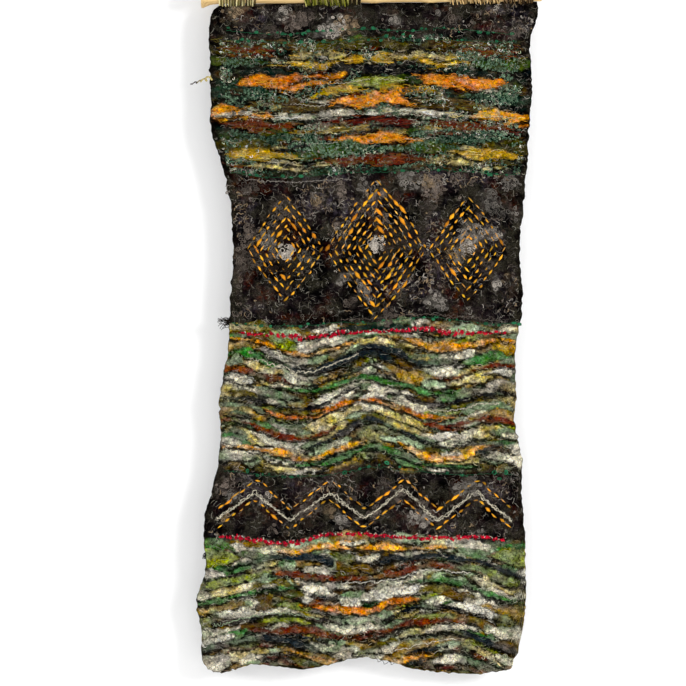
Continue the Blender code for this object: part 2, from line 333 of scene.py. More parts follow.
class Canvas:
    """The felt's front as rasters over the wall's plane: its relief and its layers of dyed wool.

    ground holds a colour, and crease how dark a furrow each point lies in: painted shade, where the
    relief is sunk too. under and over hold a colour and a share, which passes a half at the edge of
    the wool laid there. ridged, wet and
    cloud are how far each point is in the ridged zones, the streaked zone and pale smoky wool.
    """

    PITCH = 1.5
    MARGIN = 24
    FOOT_END = 1200  # the lowest drop where bands of wool are laid
    WISPS = 120
    COARSER = 8  # steps of the rasters to one of the grid of faces

    def __init__(self, sizes):
        self.form = form = FeltForm()
        self.x0, self.z0 = form.low[0] - self.MARGIN, form.low[2] - self.MARGIN
        columns = ceil((form.high[0] + self.MARGIN - self.x0) / self.PITCH)
        rows = ceil((form.high[2] + self.MARGIN - self.z0) / self.PITCH)
        self.x, self.z = np.meshgrid(
            self.x0 + self.PITCH * np.arange(columns), self.z0 + self.PITCH * np.arange(rows)
        )
        self.noise = [Noise(seed) for seed in range(12)]
        self.set_edges()
        self.set_drop()
        self.relief, self.crease = np.zeros((2, *self.x.shape))
        self.under, self.over = np.zeros((2, *self.x.shape, 4))
        self.lay_ground(sizes.selvage / MM)
        random = np.random.default_rng(30)
        for streak in STREAKS:
            self.lay_streak(streak, random)
        for seed, ridges in enumerate(RIDGES):
            self.lay_ridges(ridges, np.random.default_rng(40 + seed))
        self.lay_wisps(np.random.default_rng(60))
        self.lay_clumps(np.random.default_rng(61))
        self.finish(sizes.pebble_height / MM)
        self.set_faces()

    def mix(self, k, size, octaves=3, stretch=1.0):
        return self.noise[k].at(self.x, self.z, size, octaves, stretch)

    def set_edges(self):
        """How far in from the felt's outline each point lies."""
        x, z, form = self.x, self.z, self.form
        left, right = (side(z[:, 0])[:, None] for side in (form.left, form.right))
        top, bottom = (end(x[0])[None, :] for end in (form.top, form.bottom))
        sideways, upright = np.minimum(x - left, right - x), np.minimum(top - z, z - bottom)
        self.edge = np.minimum(sideways, upright)
        self.out = x - (left + right) / 2

    def set_drop(self):
        """How far down the design each point lies, with the sway of hand-laid bands."""
        out, drop = self.out, -HEAD - self.z
        ridged = smooth_step(560, 620, drop) * (1 - smooth_step(800, 850, drop))
        foot = smooth_step(960, 1010, drop)
        self.drop = (
            drop
            + 4 * np.sin(TURN * out / 430 + 0.8)
            + 6 * self.mix(0, 110, 2, 1.4)
            + (3 + 4 * np.maximum(ridged, foot)) * self.mix(1, 34, 3, 1.6)
            + 13 * ridged * np.cos(TURN * out / 236)
            - 15 * foot * np.cos(TURN * out / 300)
        )

    def within(self, zone):
        """How far each point is inside a zone, by its rough edges."""
        soft, drop = 7, self.drop + 8 * self.mix(2, 14, 3)
        return smooth_step(zone.top - soft, zone.top + soft, drop) * (
            1 - smooth_step(zone.bottom - soft, zone.bottom + soft, drop)
        )

    def lay_ground(self, selvage):
        """The dark felt with its smoky clouds, and the mixed grounds of the other zones."""

        def clouds(wool, over, low, high, k, *noise):
            return blend(wool, over, smooth_step(low, high, self.mix(k, *noise)))

        dyes = DYES
        self.cloud = smooth_step(0.02, 0.6, self.mix(4, 46, 4, 1.2) + 0.3 * self.mix(5, 9, 3))
        fuzz = smooth_step(-0.5, 0.5, self.mix(5, 6, 2))
        dark = clouds(0.4 * dyes["soot"], 0.8 * dyes["umber"], -0.3, 0.7, 3, 26, 4, 1.3)
        dark = blend(dark, 0.62 * dyes["taupe"], 0.8 * self.cloud * fuzz)
        flush = 0.7 * smooth_step(0.1, 0.6, self.mix(6, 38, 3)) * fuzz
        dark = blend(dark, 0.5 * dyes["rust"], flush)
        dark = 0.66 * dark * (1 - 0.8 * smooth_step(0.0, 0.5, self.mix(10, 42, 3)))[..., None]
        streaked = clouds(dyes["deep"], dyes["teal"], -0.35, 0.5, 5, 15, 3, 2.0)
        streaked = clouds(streaked, 0.8 * dyes["moss"], -0.1, 0.4, 6, 18, 3, 2.0)
        streaked = clouds(streaked, dyes["umber"], 0.05, 0.5, 8, 20, 3, 2.0)
        streaked = clouds(streaked, dyes["bronze"], 0.0, 0.35, 9, 17, 3, 3.2)
        streaked = clouds(streaked, dyes["night"], 0.05, 0.45, 7, 16, 3, 3.0)
        ridged = clouds(0.7 * dyes["taupe"], 0.8 * dyes["sage"], -0.3, 0.4, 6, 16, 3, 3.0)
        ridged = clouds(ridged, dyes["ochre"], -0.1, 0.3, 9, 18, 3, 3.0)
        ridged = clouds(ridged, dyes["olive"], 0.1, 0.5, 8, 14, 3, 3.0)
        self.wet, upper, lower = (self.within(zone) for zone in (STREAKED, RIDGED, FOOT))
        self.ridged = np.clip(upper + lower, 0, 1)
        self.ground = dark * (1.0, 1.03, 1.7)
        for wool, share in ((0.48 * streaked, self.wet), (ridged, upper), (ridged, lower)):
            self.ground = blend(self.ground, wool, share)
        rim = self.edge + 3 * self.mix(9, 12, 2)
        rim = (1 - smooth_step(selvage - 4, selvage + 4, rim)) * (1 - self.ridged) ** 2
        self.ground = blend(self.ground, dyes["soot"], rim)

    def lens(self, out, drop, half_length, half_height, name, lift, layer, tilt=0.0, bend=0.0,
             mixing=0.8):
        """Lays one uneven wisp of wool, thinner at its ends, with a crease under it."""
        near = (abs(self.out - out) < half_length + 8) & (
            abs(self.drop - drop) < 1.5 * half_height + abs(tilt) * half_length + abs(bend) + 16
        )
        if not near.any():
            return
        rows, columns = np.nonzero(near)
        box = np.s_[rows.min() : rows.max() + 1, columns.min() : columns.max() + 1]
        x, z, wool = self.x[box], self.z[box], layer[box]
        below, spread, inside = self.wisp(box, out, drop, half_length, half_height, tilt, bend)
        mask = np.clip(0.5 + inside / np.where(below > 0, 12, 6), 0, 1)
        if STREAKED.top < drop < STREAKED.bottom and name in LACY:
            mask = np.minimum(mask, 0.62 + 0.45 * self.noise[5].at(x, z, 11, 2, 1.3))
        covers = (mask > 0.5) | (mask > wool[..., 3])
        shade = self.carded(name, x + 3 * out, z, mixing)
        wool[covers] = np.concatenate([shade, mask[..., None]], axis=2)[covers]
        if layer is self.under:
            upper = self.over[box]
            upper[..., 3] = np.minimum(upper[..., 3], 1 - mask)
        self.emboss(box, below, spread, inside, lift)

    def wisp(self, box, out, drop, half_length, half_height, tilt, bend):
        """How far points lie below a wisp's middle, its reach there, and how far inside it they are."""
        here, depth = self.out[box] - out, self.drop[box] - drop
        share = here / half_length
        body = half_height * np.clip(1 - share**2, 0, 1) ** (0.5 + 0.2 * sin(drop + 0.3 * out))
        body = body * (1 + 0.4 * sin(1.7 * out + drop) * share)
        wander = 5 * self.noise[6].at(here + 19 * drop, out + 0 * here, 44, 2)
        below = depth - tilt * here - bend * (1 - share**2) - wander * min(1, half_length / 50)
        lumps = [self.noise[7].at(here + 31 * out, drop + k + 0 * here, 24, 3) for k in (0, 90)]
        spread = body * (1 + 0.6 * np.where(below < 0, *lumps))
        x, z = self.x[box], self.z[box]
        fray = 4.6 * self.noise[10].at(x, z + 7 * out, 15, 3, 1.5)
        fray = fray + 3.2 * abs(self.noise[11].at(x, z, 7, 2, 1.1)) - 1.1
        return below, spread, spread - abs(below) + np.where(spread > 0, fray, 0)

    def emboss(self, box, below, spread, inside, lift):
        """Raises a wisp's relief, and sinks a crease round it, deepest under it; the crease also
        darkens the colour there as painted shade.
        """
        round_top = np.clip(1 - (below / np.maximum(spread, 1)) ** 2, 0, 1)
        dome = smooth_step(-1, 5, inside) + 0.5 * round_top * (inside > 0)
        relief = self.relief[box]
        self.relief[box] = np.where(inside > -1, 0.3 * relief + lift * dome, relief)
        lower = smooth_step(-2, 3, below)
        line = np.exp(-(((inside + 0.8) / 1.9) ** 2)) * (0.25 + 0.75 * lower) * (spread > 0)
        self.crease[box] = np.maximum(self.crease[box] * (inside < 2), line)

    def carded(self, name, x, z, mixing):
        """A dye unevenly mixed with what it is carded with."""
        much, little = BLENDS[name]
        share = mixing * smooth_step(-0.1, 0.55, self.noise[9].at(x, z, 19, 3, 1.9))
        shade = blend(DYES[name], DYES[much], share)
        share = mixing * smooth_step(0.05, 0.6, self.noise[8].at(x, z, 13, 3, 1.5))
        return blend(shade, DYES[little], share)

    def lay_streak(self, streak, random):
        """Lays a streak at each side of the middle, with scraps of what it is carded with."""
        long, high = streak.half_length, streak.half_height
        for side in sides_of(streak):
            out, drop = side * streak.out, streak.drop + 1.5 * side
            for k in range(4):
                self.lens(
                    out + long * random.uniform(-1.1, 1.1), drop + high * random.uniform(-1.3, 1.3),
                    long * random.uniform(0.2, 0.55), high * random.uniform(0.35, 0.7),
                    BLENDS[streak.dye][k % 2], 0.7 * streak.lift,
                    self.under if k < 2 else self.over,
                    tilt=random.uniform(-0.08, 0.08), bend=random.uniform(-4, 2),
                )
            self.lens(out, drop, long, high, streak.dye, streak.lift, self.over,
                      tilt=0.02 * side, bend=-2.5, mixing=0.4)

    def lay_ridges(self, ridges, random):
        """Rows of pale patches, mirrored about the middle, and then thin lines over them."""
        top, bottom = ridges.zone.top, min(ridges.zone.bottom, self.FOOT_END)
        patches, lines = ridges.patches.split(), ridges.lines.split()
        turn = 0
        for row in range(int((bottom - top) / ridges.step)):
            drop = top + 10 + ridges.step * row
            out = random.uniform(0, 36)
            while out < 300:
                half_length = random.uniform(24, 62)
                for side in (-1, 1):
                    self.lens(
                        side * out, drop + random.uniform(-5, 5), half_length,
                        random.uniform(8, 15), patches[turn % len(patches)],
                        random.uniform(1.6, 3.0), self.under if row % 2 else self.over,
                        tilt=side * random.uniform(-0.12, 0.08), bend=random.uniform(-4, 3),
                    )
                turn += 1
                out += half_length * random.uniform(0.9, 1.5)
        for row, name in enumerate(lines):
            drop = top + (row + 0.6) * (bottom - top) / len(lines)
            middle = (0, 150, 60, 205)[row % 4]
            for side in (-1, 1) if middle else (1,):
                self.lens(
                    side * middle, drop + random.uniform(-4, 4), random.uniform(95, 165),
                    random.uniform(4, 8), name, 2.0, self.over,
                    tilt=side * random.uniform(-0.06, 0.06), bend=random.uniform(-9, 7),
                    mixing=0.45,
                )

    def lay_wisps(self, random):
        """Thin smears of pale and dark wool over the banded zones."""
        names = ("cream", "deep", "olive", "rust", "smoke", "navy")
        for _ in range(self.WISPS):
            out, drop = random.uniform(-250, 250), random.uniform(STREAKED.top, 1180)
            if FIELD.top < drop < FIELD.bottom or PALE.top < drop < PALE.bottom:
                continue
            self.lens(
                out, drop, random.uniform(14, 46), random.uniform(1.5, 4.0),
                names[random.integers(len(names))], 0.5, self.over,
                tilt=random.uniform(-0.15, 0.15), bend=random.uniform(-6, 6),
            )

    def lay_clumps(self, random):
        """Chooses where ringed locks lie in clumps, and tints the dark ground under them."""
        self.clumps = []
        names = ("smoke", "taupe", "smoke", "tan", "taupe", "umber", "smoke", "taupe", "taupe")
        for zone, count in ((HEADING, 13), (FIELD, 52), (PALE, 18)):
            for k in range(count):
                out = random.uniform(-REACH, REACH)
                drop = random.uniform(max(zone.top, 0) + 6, zone.bottom - 12)
                reach, squash = random.uniform(8, 25), random.uniform(0.45, 0.9)
                turn, light = random.uniform(0, pi), random.uniform(0.25, 0.9)
                wool = light * DYES[names[k % len(names)]]
                self.clumps.append((out, drop, reach, squash, turn, *wool))
                right, down = self.out - out, self.drop - drop
                along = (right * cos(turn) + down * sin(turn)) / reach
                across = (down * cos(turn) - right * sin(turn)) / (reach * squash)
                far = np.hypot(along, across) + 1.1 * self.mix(9, 11, 3)
                self.ground = blend(self.ground, 0.7 * wool, 0.55 * smooth_step(1.3, 0.4, far))

    def finish(self, pebble):
        """Adds the pebbly wrinkles, and works out the colour seen at each point, darkened in its
        creases and hollows as painted shade.
        """
        tint = blend(DYES["taupe"], DYES["sage"], smooth_step(-0.2, 0.2, self.mix(4, 30, 3, 1.5)))
        veil = 0.6 * self.ridged * smooth_step(-0.05, 0.5, self.mix(2, 24, 4, 1.4))
        for layer in (self.under, self.over):
            layer[..., :3] = blend(layer[..., :3], tint, veil)
            felted = np.clip((layer[..., :3].mean(axis=2) / 0.28) ** 0.35, 0.5, 1)
            layer[..., :3] *= (1 - self.wet * (1 - felted))[..., None]
        wrinkle = abs(self.mix(3, 9, 2, 1.3)) * 2 - 0.5
        knobs = abs(self.mix(8, 6.5, 1)) * 2 - 0.5
        lumps = 0.7 * wrinkle + 0.5 * knobs
        amount = 0.55 + 0.75 * self.ridged + 0.3 * self.wet
        self.relief = (
            self.relief
            + 1.3 * self.mix(1, 48, 2)
            + 2.2 * self.ridged * (0.5 - abs(self.mix(5, 17, 2, 1.4)) * 1.6)
            + pebble * amount * lumps
            - 1.7 * self.crease
            + 0.9 * np.exp(-(((self.edge - 7) / 5) ** 2))
        )
        # The hollows between the lumps join the creases, which darken the colour as painted shade.
        self.crease = np.clip(self.crease + 0.75 * (np.clip(-lumps, 0, 1) * amount), 0, 1)
        self.seen = self.ground
        for layer in (self.under, self.over):
            self.seen = blend(self.seen, layer[..., :3], smooth_step(0.4, 0.6, layer[..., 3]))
        # Painted shade: the colour is darkened in the creases.
        self.seen = self.seen * (1 - 0.6 * self.crease)[..., None]

    def sample(self, field, x, z):
        return between_points(field, x, z, self.x0, self.z0, self.PITCH)

    def set_faces(self):
        """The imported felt's front and back on a coarse grid, for all that is laid on it."""
        step = self.COARSER
        x, z = self.x[::step, ::step], self.z[::step, ::step]
        inset_x = np.clip(x, self.form.left(z) + 3, self.form.right(z) - 3)
        inset_z = np.clip(z, self.form.bottom(inset_x) + 3, self.form.top(inset_x) - 2)
        self.coarse_pitch = step * self.PITCH
        faces = self.form.faces(inset_x.ravel(), inset_z.ravel())
        self.coarse = faces.reshape(*x.shape, 2)

    def plain_faces(self, x, z):
        """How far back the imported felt's front and back lie at each point."""
        both = between_points(self.coarse, x, z, self.x0, self.z0, self.coarse_pitch)
        return both[..., 0], both[..., 1]

    def surface(self, x, z):
        """How far back the finished front surface lies at each point."""
        front, back = self.plain_faces(x, z)
        middle = (front + back) / 2
        edge = self.sample(self.edge, x, z)
        roll = np.sqrt(np.clip(1 - (1 - np.clip(edge / ROLL, 0, 1)) ** 2, 0, 1))
        return middle + (front - middle - self.sample(self.relief, x, z)) * roll

    def place(self, out, drop):
        """Where a point of the design lies, if the bands were level."""
        z = -HEAD - np.asarray(drop, float)
        return self.form.middle(z) + np.asarray(out, float), z

    def along_bands(self, out, drop):
        """Where a point of the design lies, following the bands' sway."""
        x, z = self.place(out, drop)
        for _ in range(4):
            z = z + self.sample(self.drop, x, z) - drop
            x = self.form.middle(z) + out
        return x, z


def sides_of(streak):
    """A streak at the middle is laid once, and the others at both sides."""
    return (-1, 1) if streak.out else (0,)


_canvas = []


def canvas_of(context):
    """The one canvas that every piece is laid out on."""
    if not _canvas:
        _canvas.append(Canvas(context.scene.hanging_sizes))
    return _canvas[0]


# Meshes


def linked(name, data):
    """A new object in the scene."""
    obj = bpy.data.objects.new(name, data)
    bpy.context.scene.collection.objects.link(obj)
    return obj


def mesh_object(name, points, faces, layers=None):
    """A mesh piece from points, groups of equal-sided faces, and its layers of colour."""
    mesh = bpy.data.meshes.new(name)
    mesh.vertices.add(len(points))
    mesh.vertices.foreach_set("co", (points * MM).astype(np.float32).ravel())
    sizes = np.concatenate([np.full(len(group), group.shape[1]) for group in faces])
    corners = np.concatenate([group.ravel() for group in faces])
    mesh.loops.add(len(corners))
    mesh.loops.foreach_set("vertex_index", corners.astype(np.int32))
    mesh.polygons.add(len(sizes))
    starts = np.concatenate([[0], np.cumsum(sizes)[:-1]])
    mesh.polygons.foreach_set("loop_start", starts.astype(np.int32))
    mesh.polygons.foreach_set("use_smooth", np.full(len(sizes), True))
    mesh.update(calc_edges=True)
    for layer, values in (layers or {}).items():
        attribute = mesh.color_attributes.new(layer, "FLOAT_COLOR", "POINT")
        attribute.data.foreach_set("color", values.astype(np.float32).ravel())
    return linked(name, mesh)


def settle(obj, material, slot, *nodes):
    """Gives a piece its material, rides it on the one body, and hides the imported solids it stands
    for; its slot is not used.
    """
    obj.data.materials.append(material)
    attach(obj, "root")
    if nodes:
        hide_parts(*nodes)


class Strands:
    """Gathers many tubes or strips into one mesh."""

    PLY_RIDGE = 0.22  # how far a yarn's plies stand out, as a share of its radius

    def __init__(self):
        self.points, self.colours, self.quads, self.caps, self.count = [], [], [], {}, 0

    def add(self, paths, radii, colours, sides=3, away=FRONT, lobes=None):
        """paths is strands x points x 3. Two sides make a flat strip.

        lobes, if given, is how far round each point's plies are twisted.
        """
        strands, steps = paths.shape[:2]
        along = unit(np.gradient(paths, axis=1))
        across = unit(np.cross(along, np.broadcast_to(away, paths.shape)))
        up = unit(np.cross(across, along))
        angles = TURN * np.arange(sides) / sides
        radii = np.broadcast_to(radii, (strands, steps))[..., None, None]
        if lobes is not None:
            plies = 1 + self.PLY_RIDGE * np.cos(2 * (angles - lobes[..., None]))
            radii = radii * plies[..., None]
        ring = paths[:, :, None, :] + radii * (
            np.cos(angles)[:, None] * across[:, :, None, :]
            + np.sin(angles)[:, None] * up[:, :, None, :]
        )
        index = self.count + np.arange(strands * steps * sides).reshape(strands, steps, sides)
        turned = np.roll(index, -1, axis=2)
        quads = np.stack([index[:, :-1], turned[:, :-1], turned[:, 1:], index[:, 1:]], axis=-1)
        if sides == 2:
            quads = quads[:, :, 0]
        else:
            self.caps.setdefault(sides, []).extend([index[:, 0, ::-1], index[:, -1]])
        self.quads.append(quads.reshape(-1, 4))
        self.points.append(ring.reshape(-1, 3))
        if colours.ndim == 2:
            colours = colours[:, None, :]
        shares = np.ones((*ring.shape[:3], 1))
        colours = np.broadcast_to(colours[:, :, None, :], ring.shape)
        self.colours.append(np.concatenate([colours, shares], axis=-1).reshape(-1, 4))
        self.count += strands * steps * sides

    def piece(self, name, material, slot, *nodes):
        """Makes one piece of them all."""
        groups = [self.quads] + [self.caps[sides] for sides in sorted(self.caps)]
        points, *faces = (np.concatenate(group) for group in (self.points, *groups))
        obj = mesh_object(name, points, faces, {"wool": np.concatenate(self.colours)})
        settle(obj, material, slot, *nodes)


def tinted(colours, random, spread):
    """The same dyes with each strand a little lighter or darker."""
    amount = 1 + spread * random.standard_normal((len(colours), 1))
    return np.clip(colours * amount, 0.001, 1)


def dyes_of(names, random, count):
    """A dye for each strand, taken from the names."""
    table = np.array([DYES[name] for name in names.split()])
    return table[random.integers(len(table), size=count)]


# Shaders


class Wire:
    """A node's output that takes part in Python sums, each adding its own node."""

    def __init__(self, socket):
        self.socket, self.tree = socket, socket.id_data

    @classmethod
    def node(cls, tree, kind, settings=None, values=None, output=0):
        """Adds a node: its settings first, then the values or wires of its inputs."""
        node = tree.nodes.new("ShaderNode" + kind)
        for name, value in (settings or {}).items():
            setattr(node, name, value)
        for name, value in (values or {}).items():
            if isinstance(value, Wire):
                tree.links.new(value.socket, node.inputs[name])
            else:
                node.inputs[name].default_value = value
        return cls(node.outputs[output])

    def beside(self, output):
        """Another output of the same node."""
        return Wire(self.socket.node.outputs[output])

    def maths(self, operation, a, b):
        return Wire.node(self.tree, "Math", {"operation": operation}, {0: a, 1: b})

    def __add__(self, other):
        return self.maths("ADD", self, other)

    def __sub__(self, other):
        return self.maths("SUBTRACT", self, other)

    def __mul__(self, other):
        return self.maths("MULTIPLY", self, other)

    def __rsub__(self, other):
        return self.maths("SUBTRACT", other, self)

    def __abs__(self):
        return self.maths("ABSOLUTE", self, 0.0)

    __radd__, __rmul__ = __add__, __mul__

    def step(self, low, high, first=0.0, last=1.0):
        """Runs smoothly from first to last as this goes from low to high."""
        return Wire.node(
            self.tree, "MapRange", {"interpolation_type": "SMOOTHSTEP"},
            {"Value": self, "From Min": low, "From Max": high, "To Min": first, "To Max": last},
        )

    def mixed(self, share, a, b, how):
        a, b = (value if isinstance(value, Wire) else (*value, 1.0) for value in (a, b))
        settings = {"data_type": "RGBA", "blend_type": how}
        return Wire.node(self.tree, "Mix", settings, {0: share, 6: a, 7: b}, 2)

    def between(self, a, b):
        """This share of the way from one colour to another."""
        return self.mixed(self, a, b, "MIX")

    def wholly(self, how, colour):
        """This colour with the whole of another added or multiplied."""
        return self.mixed(1.0, self, colour, how)

    def stretched(self, x, y, z):
        """This place, scaled along each axis."""
        return Wire.node(self.tree, "VectorMath", {"operation": "MULTIPLY"}, {0: self, 1: (x, y, z)})

    def noise(self, size, detail=2.0, rough=0.55, twist=0.0, output=0):
        """Noise from 0 to 1 whose blobs are about size wide at this place."""
        return Wire.node(
            self.tree, "TexNoise", {"noise_dimensions": "3D"},
            {"Vector": self, "Scale": 1 / (size * MM), "Detail": detail, "Roughness": rough,
             "Distortion": twist}, output,
        )

    def jittered(self, size, amount):
        """This place, pushed about by up to an amount in blobs of a size."""
        return Wire.node(
            self.tree, "VectorMath", {"operation": "MULTIPLY_ADD"},
            {0: self.noise(size, output=1), 1: (amount * MM,) * 3, 2: self},
        )

    def cells(self, size):
        """How far this place is from the middle of its cell, and the cell's own number."""
        distance = Wire.node(
            self.tree, "TexVoronoi", {"feature": "F1"}, {"Vector": self, "Scale": 1 / (size * MM)}
        )
        own = Wire.node(self.tree, "SeparateColor", None, {0: distance.beside("Color")})
        return distance, own

    def hairs(self, size, width):
        """Thin curling lines, 1 along their middles and 0 between them."""
        return abs(self.noise(size, 1.5, 0.5, 1.8) - 0.5).step(0.0, width, 1.0, 0.0)

    def shifted(self, hue, saturation, value):
        """This colour with its hue, saturation and value changed."""
        return Wire.node(
            self.tree, "HueSaturation", None,
            {"Hue": hue, "Saturation": saturation, "Value": value, "Color": self},
        )

    def bump(self, strength, distance):
        """A normal that this height, times a distance, presses in."""
        return Wire.node(
            self.tree, "Bump", None,
            {"Height": self, "Strength": strength, "Distance": distance * MM},
        )


class Finish:
    """A new material: its place coordinates, its colour layers and its principled shader."""

    def __init__(self, name):
        self.material = bpy.data.materials.new(name)
        self.material.use_nodes = True
        self.tree = self.material.node_tree
        self.place = Wire.node(self.tree, "TexCoord", output="Object")
        self.shader = self.tree.nodes["Principled BSDF"]

    def layer(self, name):
        """A colour layer's colour and its share."""
        colour = Wire.node(self.tree, "VertexColor", {"layer_name": name})
        return colour, colour.beside("Alpha")

    def made(self, **looks):
        """Feeds or sets the shader's inputs, named with _ for each space, and is done."""
        for name, look in looks.items():
            socket = self.shader.inputs[name.replace("_", " ").title().replace("Ior", "IOR")]
            if isinstance(look, Wire):
                self.tree.links.new(look.socket, socket)
            else:
                socket.default_value = look
        return self.material


def layered(finish):
    """The wool's colour, how far it is laid on, how thickly (a painted shade, darker at a patch's thin
    edges), and how creased it is.
    """
    (ground, crease), (under, under_share), (over, over_share) = (
        finish.layer(name) for name in ("ground", "under", "over")
    )
    level = finish.place.stretched(1.0, 1.0, 1.6)
    fray, fine = level.noise(8.0, 4.0, 0.7, 0.6) - 0.5, level.noise(3.2, 3.0, 0.7) - 0.5
    laid = (under_share + 1.2 * fray + 0.8 * fine).step(0.34, 0.66)
    wool = laid.between(ground, under)
    fray = level.stretched(1, -1, 1).noise(7.0, 4.0, 0.7, 0.8) - 0.5
    share = (over_share + 1.2 * fray + 0.8 * fine).step(0.34, 0.66)
    # Painted shade: laid wool is lighter where it lies thick in a patch's middle and darker at its thin
    # edges.
    depth = (under_share + (over_share - under_share) * share).step(0.5, 1.0, 0.72, 1.15)
    crease = (crease + 0.5 * fray + 0.9 * fine).step(0.24, 0.56)
    return share.between(wool, over), laid + share - laid * share, depth, crease


def rough_shade(place, cloud, far, own):
    """How light bare felt is: clouded pebbles between dark pits; the clouds and each pebble's own tone
    are the wool's, while the pebbles' darker rims and the dark pits are painted shade.
    """
    tone = cloud.step(0.3, 0.7, 0.62, 1.4) * own.step(0.0, 1.0, 0.6, 1.5)
    # Painted shade in the small pits.
    pit = place.noise(3.4, 2.0, 0.7).step(0.32, 0.5, 0.38, 1.05)
    # Painted shade: each pebble lighter in its middle than at its rim.
    return far.step(0.15, 0.8, 1.2, 0.45) * tone * pit


def even_shade(place, cloud, far, own, depth, worm):
    """How light laid wool is: more even, in swells and patches with wormy wrinkles; the patches and
    clouds are the wool's own tone, while the swells' darker rims, the thin edges, the wrinkles and the
    small pits are painted shade.
    """
    swell, patch = place.jittered(16.0, 7.0).stretched(1.0, 1.0, 1.4).cells(11.0)
    # Painted shade: swells lighter in their middles than at their rims, and wool darker at its thin
    # edges.
    even = depth * swell.step(0.1, 0.75, 1.18, 0.62) * patch.step(0.0, 1.0, 0.8, 1.3)
    # Painted shade: each pebble a little lighter in its middle than at its rim.
    even = even * cloud.step(0.3, 0.7, 0.75, 1.2) * far.step(0.15, 0.8, 1.1, 0.82)
    even = even * own.step(0.0, 1.0, 0.84, 1.38)
    # Painted shade in the wormy wrinkles and the small pits.
    return even * worm * place.noise(3.4, 2.0, 0.7).step(0.32, 0.52, 0.65, 1.1)


def fine_hair(place, loose):
    """Curled hairs of four thicknesses."""
    hair = loose.hairs(4.6, 0.035) + loose.stretched(1, 1, 1.6).hairs(3.0, 0.045) * 0.8
    hair = hair + place.jittered(6.0, 3.0).hairs(7.5, 0.02) * 0.9
    return hair + place.jittered(3.0, 2.5).hairs(2.6, 0.06) * 0.6


def felt_material():
    """Wool felted in layers, with frayed edges, pebbles, creases and fine curled hairs, with painted
    shade in its hollows and painted sheen on its hairs.
    """
    finish = Finish("dyed_felt")
    place = finish.place
    wool, laid, depth, crease = layered(finish)
    loose = place.jittered(7.0, 5.0)
    cloud, (far, own) = place.noise(24.0, 3.0, 0.65), loose.stretched(1.0, 1.0, 1.3).cells(5.0)
    # Wormy wrinkles: a bump in the relief, and painted shade in the colour.
    worm = abs(place.jittered(5.0, 2.5).noise(7.5, 1.0) - 0.5).step(0.0, 0.075, 0.4, 1.2)
    rough = rough_shade(place, cloud, far, own)
    even = even_shade(place, cloud, far, own, depth, worm)
    # Painted shade: darker in the creases.
    shade = (rough + (even - rough) * laid) * (1.0 - 0.9 * crease)
    hue = place.noise(12.0, 2.0).step(0.25, 0.75, 0.48, 0.52)
    wool = wool.shifted(hue, place.noise(17.0, 2.0, 0.6, 0.3).step(0.3, 0.7, 0.8, 1.3), shade)
    hair = fine_hair(place, loose)
    veil = place.jittered(30.0, 20.0).noise(30.0, 3.0, 0.6).step(0.4, 0.66, 0.0, 0.85)
    # Lighter hairs over the wool: partly their own paler fibres, partly painted sheen; they fade in the
    # creases as painted shade.
    bright = wool.shifted(0.508, 1.0, 1.8).wholly("ADD", (0.066, 0.06, 0.038))
    cover = (hair * veil * (1.0 - 0.6 * crease) * (1.0 - 0.15 * laid)).step(0.0, 1.0)
    height = 1.0 * far.step(0.0, 0.8, 1.0, 0.0) + 0.4 * hair + 0.5 * place.noise(2.4, 2.0)
    height = height + 0.5 * laid * worm
    return finish.made(
        base_color=cover.between(wool, bright), roughness=place.noise(5.0).step(0.3, 0.7, 0.85, 1.0),
        normal=height.bump(0.9, 1.7), specular_ior_level=0.01,
    )


def strand_material(name, rough=0.8, grain=1.4):
    """Dyed fibre, its colour kept in the strands."""
    finish = Finish(name)
    place, (colour, _) = finish.place, finish.layer("wool")
    light = place.noise(grain, 2.0).step(0.2, 0.8, 0.62, 1.35)
    grey = Wire.node(finish.tree, "CombineColor", None, {0: light, 1: light, 2: light})
    return finish.made(
        base_color=colour.wholly("MULTIPLY", grey),
        normal=place.noise(grain * 0.5, 2.0).bump(0.5, 0.4),
        roughness=rough, sheen_weight=0.01, sheen_roughness=0.4, specular_ior_level=0.05,
    )


def wood_material(wood, streaks):
    """Peeled wood: long grain, scattered flecks and greyer patches."""
    finish = Finish("peeled_wood")
    place = finish.place
    grain = place.stretched(0.06, 1.0, 1.0).noise(2.2, 4.0, 0.6)
    patch = place.stretched(0.35, 1.0, 1.0).noise(26.0, 3.0)
    fleck = place.stretched(0.3, 1.0, 1.0).noise(2.6, 2.0).step(0.66, 0.74)
    share = grain.step(0.35, 0.75, 0.0, 0.6) + patch.step(0.45, 0.75, 0.0, 0.35)
    colour = share.between(wood, streaks)
    colour = (0.5 * fleck).between(colour, dye(84, 54, 30))
    height = grain + 0.6 * fleck
    return finish.made(
        base_color=colour, roughness=grain.step(0.2, 0.8, 0.5, 0.75),
        normal=height.bump(0.5, 0.7), specular_ior_level=0.3,
    )


# Guides that stitches and yarns follow, as points of out and drop


def along_line(points):
    """How long a line is, and what gives its points at any lengths along it."""
    steps = np.linalg.norm(np.diff(points, axis=0), axis=1)
    run = np.concatenate([[0], np.cumsum(steps)])
    return run[-1], lambda at: np.stack([np.interp(at, run, each) for each in points.T], axis=1)


def resample(points, pitch):
    """Points at an even pitch along a line, and the line's direction at each."""
    length, found = along_line(points)
    run = np.arange(pitch / 2, length, pitch)
    return found(run), unit(found(run + 0.5) - found(run) + 1e-9)


def crosswise(ways):
    """Each direction turned by a quarter."""
    return np.stack([-ways[:, 1], ways[:, 0]], axis=1)


